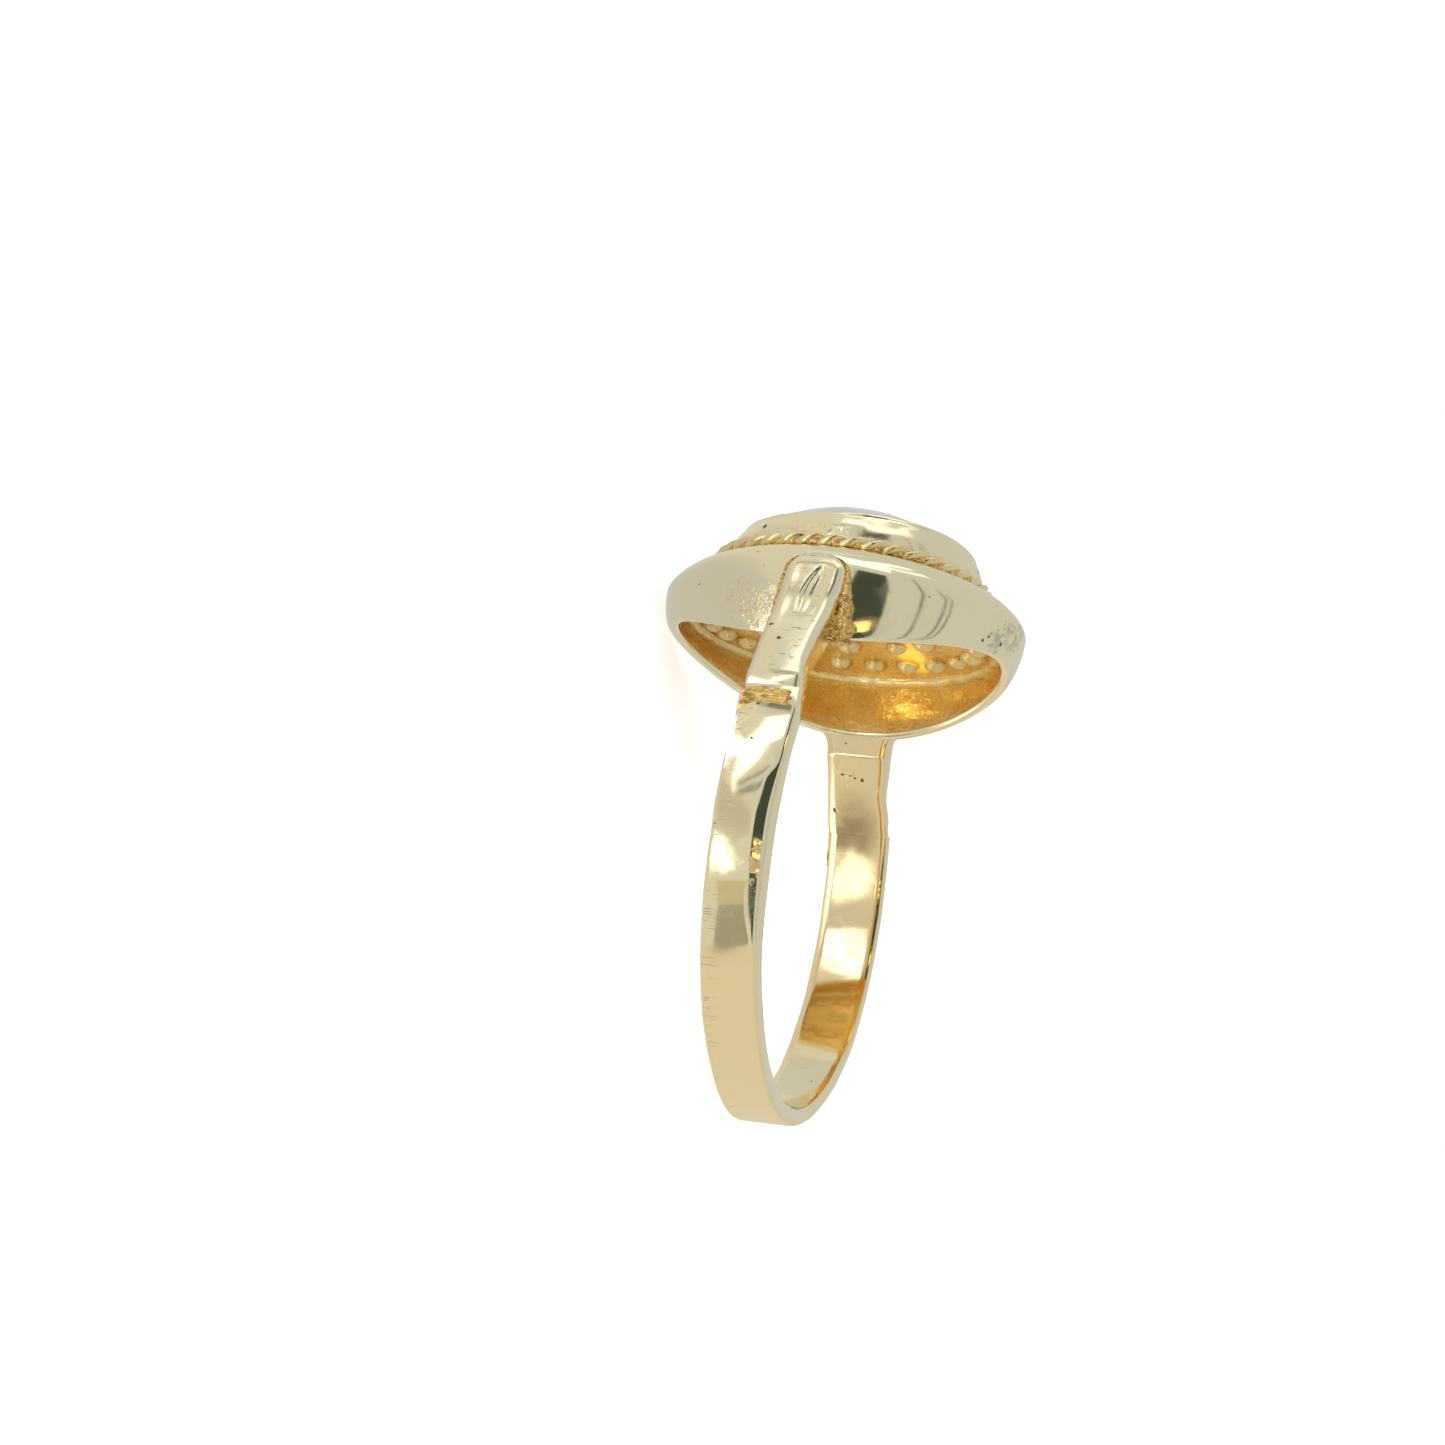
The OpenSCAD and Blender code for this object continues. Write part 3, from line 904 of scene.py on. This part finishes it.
def make_lining():
    """The cast wall inside the skirt, from just above the rim to the ledge."""
    around = 240
    rings = []
    low, high = rim_z + 0.14, plate_z + 0.1
    for share in shares(22):
        height = low + (high - low) * share
        in_by = 0.045 * min(1, 6 * share)
        station = (mouth[0] - in_by, mouth[1] - in_by, height, 1 - share)
        ring = []
        for x, y, z in skirt_ring(station, around):
            bump = 0.030 * wobble((x, y, z), 0.55, 51) + 0.016 * wobble((x, y, z), 0.2, 53)
            bump *= min(1, 4 * share)
            ring.append((x * (1 - bump / 6), y * (1 - bump / 6), z))
        rings.append(ring)
    for height, share in ((high, 0), (rim_z + 0.2, 1)):
        rings.append(skirt_ring((mouth[0] + 0.06, mouth[1] + 0.06, height, share), around))
    loft("skirt_lining", rings, LINING_GOLD, closed=True)


def make_plate():
    """The closed ceiling of the hollow, as it was cast: not quite flat."""
    rings = []
    for share in (0.004, *shares(27)[1:]):
        ring = []
        for x, y, z in oval((mouth[0] + 0.05) * share, (mouth[1] + 0.05) * share, plate_z, 160):
            lump = 0.03 * wobble((x, y, 0), 1.6, 61) + 0.012 * wobble((x, y, 0), 0.5, 63)
            ring.append((x, y, z + lump))
        rings.append(ring)
    rings.append([(x, y, plate_z + 0.2) for x, y, z in rings[-1]])
    loft("back_plate", rings, PLATE_GOLD)


def bead(name, path, height, radii, sides, material, uneven, seed):
    """A bead along a level oval path, with an oval section and a lumpy skin."""

    def centre(a):
        return Vector((path[0] * math.cos(a), path[1] * math.sin(a), height))

    up = Vector((0, 0, 1))
    rings = []
    for a in turns(260):
        here = centre(a)
        out = (centre(a + 0.01) - here).cross(up).normalized()
        ring = []
        for psi in turns(sides):
            point = here + out * (radii[0] * math.cos(psi)) + up * (radii[1] * math.sin(psi))
            ring.append(point + (point - here) * (uneven * wobble(point, 0.5, seed)))
        rings.append(ring)
    loft(name, rings, material, closed=True)


def make_ledge():
    """The pale step that runs round the plate where it meets the wall."""
    bead("plate_ledge", ledge, plate_z + 0.02, ledge_r, 16, LEDGE_GOLD, 0.10, 71)


def make_rope_solder():
    """The solder that holds the twisted wire, seen in the gaps between its turns."""
    bead("rope_solder", rope_oval, skirt_top_z + 0.24, rope_solder_r, 12, SOLDER_GOLD, 0.1, 77)


def make_bezel():
    """The stone's collar: swollen, a little dented, rolled in at its lip."""
    foot_z = skirt_top_z - 0.3
    high = bezel_top_z - lip_round - foot_z
    profile = []
    for s in shares(30):
        r = bezel_foot[0] + (bezel_lip - bezel_foot[0]) * s * s + bezel_bulge * math.sin(math.pi * s)
        profile.append((r, foot_z + high * s))
    for share in shares(8)[1:]:
        a = math.pi / 2 * share
        in_by, down_by = lip_round * (1 - math.cos(a)), lip_round * (1 - math.sin(a))
        profile.append((bezel_lip - in_by, bezel_top_z - down_by))
    outside = len(profile)
    inner = bezel_lip - bezel_wall
    profile += [(inner + 0.06, bezel_top_z), (inner, bezel_top_z - 0.05)]
    profile += [(inner, bezel_top_z - 0.5), (inner + 0.1, seat_z + 0.4), (inner + 0.1, foot_z)]
    rings = []
    for k, (r, height) in enumerate(profile):
        outer = min(1, k / 30) if k < outside else 0
        upper = clamp01(height - bezel_top_z + 1)
        ring = []
        for x, y, z in oval(r, r * bezel_ratio, height, 230):
            spot, near = (x, y, z), ease(0, -2, y)
            swell = bezel_swell * outer * ease(0.3, 1.0, x / r)
            lift = near_lip_lift * upper * ease(0, -0.8, y / (r * bezel_ratio)) * ease(-0.5, 0.5, x / r)
            dent = 0.020 * wobble(spot, 1.5, 81) + 0.010 * wobble(spot, 0.55, 83)
            dent += 0.025 * hump(-1.6, 1.5, x) * near * wobble(spot, 0.35, 87)
            rolled = 0.030 * hump(1.2, 2.6, x) * near
            dent += rolled * wobble((0.25 * x, 0.25 * y, z), 0.42, 85)
            grow = 1 + (dent + swell) / r
            ring.append((x * grow, y * grow, z + 0.4 * dent + lift))
        rings.append(ring)
    loft("bezel", rings, BEZEL_GOLD, closed=True)


def make_stone():
    """The domed stone, from its flat back in the pocket to its crown."""
    girdle_r = bezel_lip - bezel_wall - stone_gap
    ball_r = (girdle_r**2 + dome_h**2) / (2 * dome_h)
    seat_r = bezel_foot[0] - bezel_wall - 0.05 - stone_gap
    base_z = seat_z + stone_gap
    profile = [(0.01, base_z), (seat_r * 0.5, base_z), (seat_r - 0.1, base_z)]
    profile += [(seat_r - 0.03, base_z + 0.03), (seat_r, base_z + 0.1)]
    side_z = base_z + 0.1
    for s in shares(9)[1:-1]:
        profile.append((seat_r + (girdle_r - seat_r) * s, side_z + (bezel_top_z - side_z) * s))
    top = math.asin(girdle_r / ball_r)
    for share in shares(40)[:-1]:
        s = top * (1 - share)
        profile.append((ball_r * math.sin(s), bezel_top_z + dome_h - ball_r * (1 - math.cos(s))))
    profile.append((0.01, bezel_top_z + dome_h))
    rings = [oval(r, r * bezel_ratio, z, 160) for r, z in profile]
    loft("opal_stone", rings, OPAL, node="opal", sharp=40)


# The solder round a tab, as (distance along the finger, height, half width) points.
near_solder = [(1.40, 7.55, 0.36), (1.42, 8.0, 0.42), (1.42, 8.4, 0.40), (1.38, 8.9, 0.32)]
near_solder += [(1.35, 9.4, 0.24), (1.32, 9.9, 0.16), (1.26, 10.35, 0.1), (1.12, 10.72, 0.07)]
near_solder += [(0.8, 10.98, 0.05), (0.4, 11.08, 0.04), (0, 11.1, 0.04), (-0.45, 11.06, 0.04)]
near_solder += [(-0.86, 10.92, 0.05), (-1.12, 10.66, 0.07), (-1.2, 10.2, 0.08), (-1.25, 9.5, 0.09)]
near_solder += [(-1.28, 8.8, 0.12), (-1.3, 8.2, 0.13), (-1.3, 7.75, 0.09)]
far_solder = [(x, height, min(wide, 0.12)) for x, height, wide in near_solder if height > 8.1]


def make_tab_solder(name, side):
    """The rough solder round the tab where it lies on the skirt, thickest beside the near one."""
    path = near_solder if side < 0 else far_solder
    rings = []
    for share in shares(190):
        x, height, wide = point_on(path, share)
        wide *= 1 + 0.22 * wobble((x, height, side), 0.6, 91)
        thick = 0.45 * wide + 0.07
        middle = Vector((x, side * wall_depth(height, x), height))
        ring = []
        for psi in turns(16):
            spot = middle + Vector((wide * math.cos(psi), side * thick * math.sin(psi), 0))
            spot += (spot - middle) * (0.35 * wobble(spot, 0.3, 97) + 0.25 * wobble(spot, 0.12, 99))
            ring.append(spot)
        rings.append(ring)
    loft(name, rings, SOLDER_GOLD)


def wall_depth(height, x):
    """Depth of the skirt's outer face at a height, a distance x along the finger."""
    for half_l, half_w, z, share in skirt_profile()[:50]:
        depth = half_w * math.sqrt(max(1 - (x / half_l) ** 2, 0))
        if z - rim_drop(depth, share) <= height:
            break
    return depth


# Geometry nodes for what repeats


def new_modifier_tree(name, inputs):
    """A geometry node tree with named inputs and a Geometry output: their wires and its end."""
    tree = bpy.data.node_groups.new(name, "GeometryNodeTree")
    kinds = {int: "NodeSocketInt", float: "NodeSocketFloat"}
    for label, value in inputs.items():
        kind = kinds.get(type(value), "NodeSocketMaterial")
        tree.interface.new_socket(label, in_out="INPUT", socket_type=kind)
    tree.interface.new_socket("Geometry", in_out="OUTPUT", socket_type="NodeSocketGeometry")
    return tree, wires(tree.nodes.new("NodeGroupInput"))


def grow(name, tree, shapes, given, inputs):
    """Ends a tree, runs it, and turns its result into a plain piece in the ring's place."""
    joined = tree.nodes.new("GeometryNodeJoinGeometry")
    for shape in shapes:
        tree.links.new(shape.socket, joined.inputs[0])
    real = put(tree, "GeometryNodeRealizeInstances", {0: Wire(joined.outputs[0])})
    painted = put(tree, "GeometryNodeSetMaterial", {"Geometry": real, "Material": given["Finish"]})
    fill(tree.nodes.new("NodeGroupOutput"), {"Geometry": painted})
    maker = add_object(name + "_maker", bpy.data.meshes.new(name + "_seed"))
    modifier = maker.modifiers.new(name, "NODES")
    modifier.node_group = tree
    for item in tree.interface.items_tree:
        if item.in_out == "INPUT":
            modifier[item.identifier] = inputs[item.name]
    bpy.context.view_layer.update()
    evaluated = maker.evaluated_get(bpy.context.evaluated_depsgraph_get())
    mesh = bpy.data.meshes.new_from_object(evaluated)
    mesh.name = name
    mesh.transform(RING)
    maker.modifiers.remove(modifier)
    bpy.data.objects.remove(maker)
    finish_piece(add_object(name, mesh), inputs["Finish"], "ring_mount", 60)


def points_on_circle(tree, count):
    """So many points with their numbers, to be moved to their places."""
    circle = put(tree, "GeometryNodeMeshCircle", {"Vertices": count})
    return circle, put(tree, "GeometryNodeInputIndex")


def moved(points, x, y, z):
    spot = put(points.tree, "ShaderNodeCombineXYZ", {0: x, 1: y, 2: z})
    return put(points.tree, "GeometryNodeSetPosition", {"Geometry": points, "Position": spot})


def dot_oval(tree, given, label, seed):
    """Raised dots on an oval, each a low dome of its own size."""
    circle, index = points_on_circle(tree, given[label + " count"])
    angle = (index + 0.5) * (2 * math.pi) / given[label + " count"]
    x = calc("COSINE", angle) * given[label + " length"]
    y = calc("SINE", angle) * given[label + " width"]
    ball = put(tree, "GeometryNodeMeshUVSphere", {"Segments": 18, "Rings": 12, "Radius": 1.0}, "Mesh")
    span = {2: 0.86, 3: 1.1, "Seed": seed}
    size = put(tree, "FunctionNodeRandomValue", span, 1, data_type="FLOAT")
    wide, high = size * given["Dot radius"], size * given["Dot height"]
    scale = put(tree, "ShaderNodeCombineXYZ", {0: wide, 1: wide, 2: high})
    inputs = {"Points": moved(circle, x, y, given["Height"]), "Instance": ball, "Scale": scale}
    return put(tree, "GeometryNodeInstanceOnPoints", inputs)


def make_dots():
    """The raised dots of the back plate, in two ovals."""
    inputs = {
        "Outer count": outer_dots,
        "Outer length": outer_oval[0],
        "Outer width": outer_oval[1],
        "Inner count": inner_dots,
        "Inner length": inner_oval[0],
        "Inner width": inner_oval[1],
        "Height": plate_z,
        "Dot radius": dot_r,
        "Dot height": dot_h,
        "Finish": DOT_GOLD,
    }
    tree, given = new_modifier_tree("raised_dots", inputs)
    ovals = [dot_oval(tree, given, label, seed) for label, seed in (("Outer", 5), ("Inner", 9))]
    grow("plate_dots", tree, ovals, given, inputs)


def strand(tree, given, phase):
    """One of the two wires: a helix round the oval, swept with a round section."""
    circle, index = points_on_circle(tree, given["Steps"])
    angle = index * (2 * math.pi) / given["Steps"]
    turn = angle * given["Turns"] + phase
    swing = calc("COSINE", turn) * given["Twist radius"]
    lift = calc("SINE", turn) * given["Twist radius"]
    x = calc("COSINE", angle) * (given["Long radius"] + swing)
    y = calc("SINE", angle) * (given["Short radius"] + swing)
    curve = put(tree, "GeometryNodeMeshToCurve", {0: moved(circle, x, y, given["Height"] + lift)})
    section = {"Resolution": 12, "Radius": given["Strand radius"]}
    section = put(tree, "GeometryNodeCurvePrimitiveCircle", section)
    return put(tree, "GeometryNodeCurveToMesh", {"Curve": curve, "Profile Curve": section})


def make_rope():
    """The twisted wire round the bezel's foot, of two strands."""
    wire_r = rope_d / 2
    inputs = {
        "Steps": rope_ridges * 14,
        "Turns": rope_ridges / 2,
        "Long radius": rope_oval[0],
        "Short radius": rope_oval[1],
        "Height": skirt_top_z + 1.3 * wire_r,
        "Strand radius": wire_r * 0.68,
        "Twist radius": wire_r * 0.50,
        "Finish": ROPE_GOLD,
    }
    tree, given = new_modifier_tree("twisted_wire", inputs)
    strands = [strand(tree, given, phase) for phase in (0.0, math.pi)]
    grow("rope_wire", tree, strands, given, inputs)


make_band()
make_shoulder("shoulder_near", -1)
make_shoulder("shoulder_far", 1)
make_seam("seam_solder_near", -1)
make_seam("seam_solder_far", 1)
make_skirt()
make_lining()
make_plate()
make_ledge()
make_dots()
make_rope()
make_rope_solder()
make_bezel()
make_stone()
make_tab_solder("tab_solder_near", -1)
make_tab_solder("tab_solder_far", 1)


# Floor, light and camera


def stage_mesh(name, points, faces, material):
    mesh = bpy.data.meshes.new(name)
    mesh.from_pydata(points, [], faces)
    mesh.materials.append(material)
    piece = add_object(name, mesh)
    return piece


def bare_material(name):
    """A material's nodes, without its first shader."""
    made = bpy.data.materials.new(name)
    made.use_nodes = True
    made.node_tree.nodes.clear()
    return made, made.node_tree


def end_material(tree, surface):
    fill(tree.nodes.new("ShaderNodeOutputMaterial"), {"Surface": surface})


# Painted shade on the floor's reflected glow: middle and reach in millimetres, the brightness there and
# its colour.
PAINTED_FLOOR_SHADES = [
    ((10, 7), (13, 11), 0.60, (0.99, 0.97, 1.0)),
    ((-4.5, 1.7), (2.7, 3.6), 0.36, (1.0, 0.88, 0.72)),
    ((0.5, 24), (5.5, 9), 0.58, (1.0, 0.92, 0.80)),
]


def floor_material():
    """Pale matt paper: white to the camera; in what the ring reflects, a pale painted glow with painted
    shade patches.
    """
    made, tree = bare_material("floor_paper")
    seen = put(tree, "ShaderNodeLightPath", output="Is Camera Ray")
    paper = put(tree, "ShaderNodeBsdfDiffuse", {"Color": (0.9, 0.9, 0.9, 1)})
    glow = put(tree, "ShaderNodeEmission", {"Color": (1, 1, 1, 1), "Strength": 0.58})
    bright = put(tree, "ShaderNodeAddShader", {0: paper, 1: glow})
    spot = put(tree, "ShaderNodeTexCoord", output="Object")
    colour = (0.72, 0.688, 0.63, 1)
    # Each patch paints shade into the glow that the ring reflects.
    for middle, reach, strength, shade in PAINTED_FLOOR_SHADES:
        away = spot.vector("SUBTRACT", (middle[0] * MM, middle[1] * MM, 0))
        away = away.vector("MULTIPLY", (1 / (reach[0] * MM), 1 / (reach[1] * MM), 0))
        share = remap(away.vector("LENGTH"), 0.35, 1.25, 1.0, 0.0)
        colour = tint(share, colour, [c * strength for c in shade] + [1])
    mirror = put(tree, "ShaderNodeEmission", {"Color": colour, "Strength": 1.0})
    end_material(tree, put(tree, "ShaderNodeMixShader", {0: seen, 1: mirror, 2: bright}))
    return made


def card_material(name, colour, strength, soft=None):
    """A glowing card. soft is the middle and half sizes, in metres, of one that fades out."""
    made, tree = bare_material(name)
    glow = put(tree, "ShaderNodeEmission", {"Color": (*colour, 1), "Strength": strength})
    if soft:
        spot = put(tree, "ShaderNodeTexCoord", output="Object")
        away = spot.vector("SUBTRACT", soft[0]).vector("DIVIDE", soft[1]).vector("LENGTH")
        share = remap(away + grain(spot, 900.0, 3.0, 0.6) - 0.5, 0.45, 1.0)
        clear = put(tree, "ShaderNodeBsdfTransparent")
        glow = put(tree, "ShaderNodeMixShader", {0: share, 1: glow, 2: clear})
    end_material(tree, glow)
    return made


def card(name, points, colour, strength, soft=None, faces=None):
    """A glowing card that shows only in what the ring's polished faces mirror."""
    faces = faces or [tuple(range(len(points)))]
    made = stage_mesh(name, points, faces, card_material(name, colour, strength, soft))
    made.visible_camera = False
    made.visible_shadow = False
    made.visible_diffuse = False


WHITE = (1, 1, 1)
WARM_WHITE = (1.0, 0.93, 0.85)
COOL_WHITE = (0.97, 1, 0.98)
SQUARE = [(-1, -1), (1, -1), (1, 1), (-1, 1)]


def sky_card(name, azimuths, elevations, strength, colour=WHITE, distance=240, bulge=0.0):
    """A card on a ball round the ring, between two azimuths and two elevations of its frame.

    Its right side bulges by as many degrees.
    """
    steps = 10
    points = []
    for across in shares(steps):
        for up in shares(steps):
            wide = azimuths[1] - azimuths[0] + bulge * math.sin(math.pi * up)
            azimuth = azimuths[0] + wide * across
            elevation = elevations[0] + (elevations[1] - elevations[0]) * up
            points.append(RING @ (direction(azimuth, elevation) * distance))
    row = steps + 1
    corners = [i * row + j for i in range(steps) for j in range(steps)]
    faces = [(k, k + 1, k + row + 1, k + row) for k in corners]
    card(name, points, colour, strength, faces=faces)


def floor_card(name, corners, strength, colour=WHITE):
    """A card lying just above the floor, its corners in millimetres of the shared frame."""
    card(name, [(x * MM, y * MM, 0.3 * MM) for x, y in corners], colour, strength)


def floor_glow(name, middle, reach, strength, colour=WHITE, lift=0.3):
    """A ragged soft glow just above the floor: its middle and half sizes, as for floor_card."""
    middle, reach = Vector((*middle, lift)), Vector((*reach, 1.0))
    points = [(middle + Vector((i * reach.x, j * reach.y, 0))) * MM for i, j in SQUARE]
    card(name, points, colour, strength, (middle * MM, reach * MM))


def near_card(name, middle, side, up, size, reach, strength, colour):
    """A small ragged card close to the ring: its middle, its two directions and half sizes."""
    middle, side, up = Vector(middle), Vector(side).normalized(), Vector(up)
    points = [RING @ (middle + side * (size[0] * i) + up * (size[1] * j)) for i, j in SQUARE]
    card(name, points, colour, strength, (RING @ middle, Vector(reach) * MM))


def upright_card(name, middle, side, size, strength, colour):
    near_card(name, middle, side, (0, 0, 1), size, [size[0] * 1.3] * 3, strength, colour)


def horizon_card():
    """The far glow again, standing up where the floor ends."""
    corners = [(409, 439, 0), (482, 357, 0), (500, 345, 75), (462, 385, 75)]
    card("glow_rise", [Vector(corner) * MM for corner in corners], WHITE, 1.7)


stage_mesh("floor", [(1.5 * x, 1.5 * y, 0) for x, y in SQUARE], [(0, 1, 2, 3)], floor_material())
sky_card("card_dark", (-88, -67.5), (-42, 59), 0.07, (0.85, 1.0, 0.85), 200, 1.8)
sky_card("softbox_over", (-125, -62), (65, 75), 1.5)
sky_card("softbox_right", (-62, -12), (70, 74), 1.15)
sky_card("softbox_left", (-179, -125), (69, 88), 0.74)
sky_card("card_line", (-137, -104), (55, 58.5), 0.2, distance=230)
sky_card("streak_a", (-46, -44), (-30, 62), 0.22, WARM_WHITE)
sky_card("streak_b", (-31, -29.3), (-30, 55), 0.22, WARM_WHITE)
sky_card("streak_c", (-26.5, -25), (-25, 50), 0.24, WARM_WHITE)
floor_glow("glow_near", (-5.2, 15.6), (2.3, 3.2), 1.9)
floor_card("ochre_near", [(-7.1, 13.6), (-9.2, 19.5), (-11, 17), (-8.4, 12.2)], 0.6, (1, 0.87, 0.64))
floor_card("grey_near", [(-8.4, 12.2), (-11, 17), (-13.5, 14.5), (-9.9, 9.0)], 0.37, (1, 0.95, 0.76))
floor_card("line_near", [(3.2, 26.2), (15, 52), (60, 150), (66, 148), (17.4, 51), (4.3, 26.4)], 0.34)
floor_card("line_next", [(5.4, 27.2), (21, 53), (90, 160), (95, 157), (22.5, 52), (6.0, 27.1)], 0.36)
floor_glow("glow_far", (-2.9, 4.9), (2.6, 4.4), 1.9, COOL_WHITE)
floor_glow("glow_far_side", (-0.9, -2.2), (2.2, 3.2), 1.9, COOL_WHITE, lift=0.35)
low_glow = [(2, 4.6), (2.5, 15), (13, 27), (22, 42), (32, 42), (20, 26), (10.5, 15), (6, 10)]
floor_card("glow_far_low", low_glow, 2.0, (0.96, 1, 1.06))
far_glow = [(2.2, 24.3), (5.2, 24.6), (17, 31), (43, 48), (531, 405), (1125, 850), (958, 1020)]
far_glow += [(29.7, 55.1), (7.1, 27.2)]
floor_card("glow_out", far_glow, 1.7)
horizon_card()
glint = (5.14, -17.03, 10.1), (0.9455, 0.3256, 0), (1.5, 1.2)
upright_card("card_glint", *glint, 2.2, (1, 0.66, 0.28))
upright_card("card_bezel", (3.4, -6.4, 19.9), (0.75, 0.66, 0), (2.6, 2.6), 1.6, (1, 0.98, 0.92))
# A glow just under the back plate, which shows only in what the hollow reflects.
plate_glow = (2.4, 2.3, 9.94), (1, 0, 0), (0, 1, 0), (0.85, 2.3), (0.85, 2.3, 0.85)
near_card("glow_plate", *plate_glow, 1.25, (1, 0.86, 0.28))
# Golden glints on the near limb's bevel: a place on it, and the height of the light it shows there.
bevel_glints = [((0.83, -9.42, -2.0), -4.0), ((0.85, -9.34, -2.4), -9.6), ((0.86, -9.23, -2.85), -16.0)]
for i, (place, height) in enumerate(bevel_glints):
    spark = Vector(place) + direction(-74, height) * 10, direction(16, 0), (1.9, 0.3)
    upright_card(f"card_spark_{i}", *spark, 2.0, (1, 0.72, 0.34))


def add_lamp(name, kind, energy, spot, aim, **settings):
    lamp = bpy.data.lights.new(name, kind)
    lamp.energy = energy
    for key, value in settings.items():
        setattr(lamp, key, value)
    holder = add_object(name, lamp)
    holder.location = spot
    holder.rotation_mode = "QUATERNION"
    holder.rotation_quaternion = (aim - spot).to_track_quat("-Z", "Y")
    return holder


def make_wall_spot():
    """A tiny lamp under the back plate, which lights one place of the hollow's far wall."""
    spot, aim = RING @ Vector((0.6, 3.5, 9.65)), RING @ Vector((1.75, 5.1, 9.05))
    looks = {"color": (1.0, 0.88, 0.36), "shadow_soft_size": 0.0003}
    looks |= {"spot_size": math.radians(80), "spot_blend": 1.0}
    add_lamp("wall_spot", "SPOT", 2.2e-5, spot, aim, **looks)


def make_world():
    """An even pale room, white where the camera sees past the floor."""
    world = bpy.data.worlds.new("room")
    world.use_nodes = True
    tree = world.node_tree
    tree.nodes.clear()
    seen = put(tree, "ShaderNodeLightPath", output="Is Camera Ray")
    room = put(tree, "ShaderNodeBackground", {"Color": (1, 1, 1, 1), "Strength": 0.63})
    white = put(tree, "ShaderNodeBackground", {"Color": (1, 1, 1, 1), "Strength": 1.0})
    mixed = put(tree, "ShaderNodeMixShader", {0: seen, 1: room, 2: white})
    fill(tree.nodes.new("ShaderNodeOutputWorld"), {"Surface": mixed})
    bpy.context.scene.world = world


def make_lamp():
    """A broad soft light from above, which gives the floor its faint contact shadow."""
    lamp = add_lamp("soft_lamp", "AREA", 0.25, Vector((0.05, 0.1, 0.45)), Vector(), size=0.4)
    lamp.visible_glossy = False


# The camera, in the ring's frame: where it stands, what it looks at and how it is turned.
camera_azimuth = -75.283
camera_elevation = -16.448
camera_distance = 164.42
aim_point = (-3.405, -2.542, 4.941)
image_up = (-0.0967, -0.3482, 0.9324)
lens = 105.99
sensor = 36.0


def make_camera():
    """The camera that took the photo, as it was solved."""
    spot = RING @ (direction(camera_azimuth, camera_elevation) * camera_distance)
    forward = (RING @ Vector(aim_point) - spot).normalized()
    right = forward.cross(turned @ Vector(image_up)).normalized()
    axes = Matrix((right, right.cross(forward), -forward)).transposed()
    camera = bpy.data.cameras.new("camera")
    camera.lens = lens
    camera.sensor_width = sensor
    camera.clip_start = 0.005
    camera.clip_end = 5
    holder = add_object("camera", camera)
    holder.matrix_world = Matrix.Translation(spot) @ axes.to_4x4()
    bpy.context.scene.camera = holder


make_world()
make_wall_spot()
make_lamp()
make_camera()
bpy.context.scene.view_settings.view_transform = "Standard"
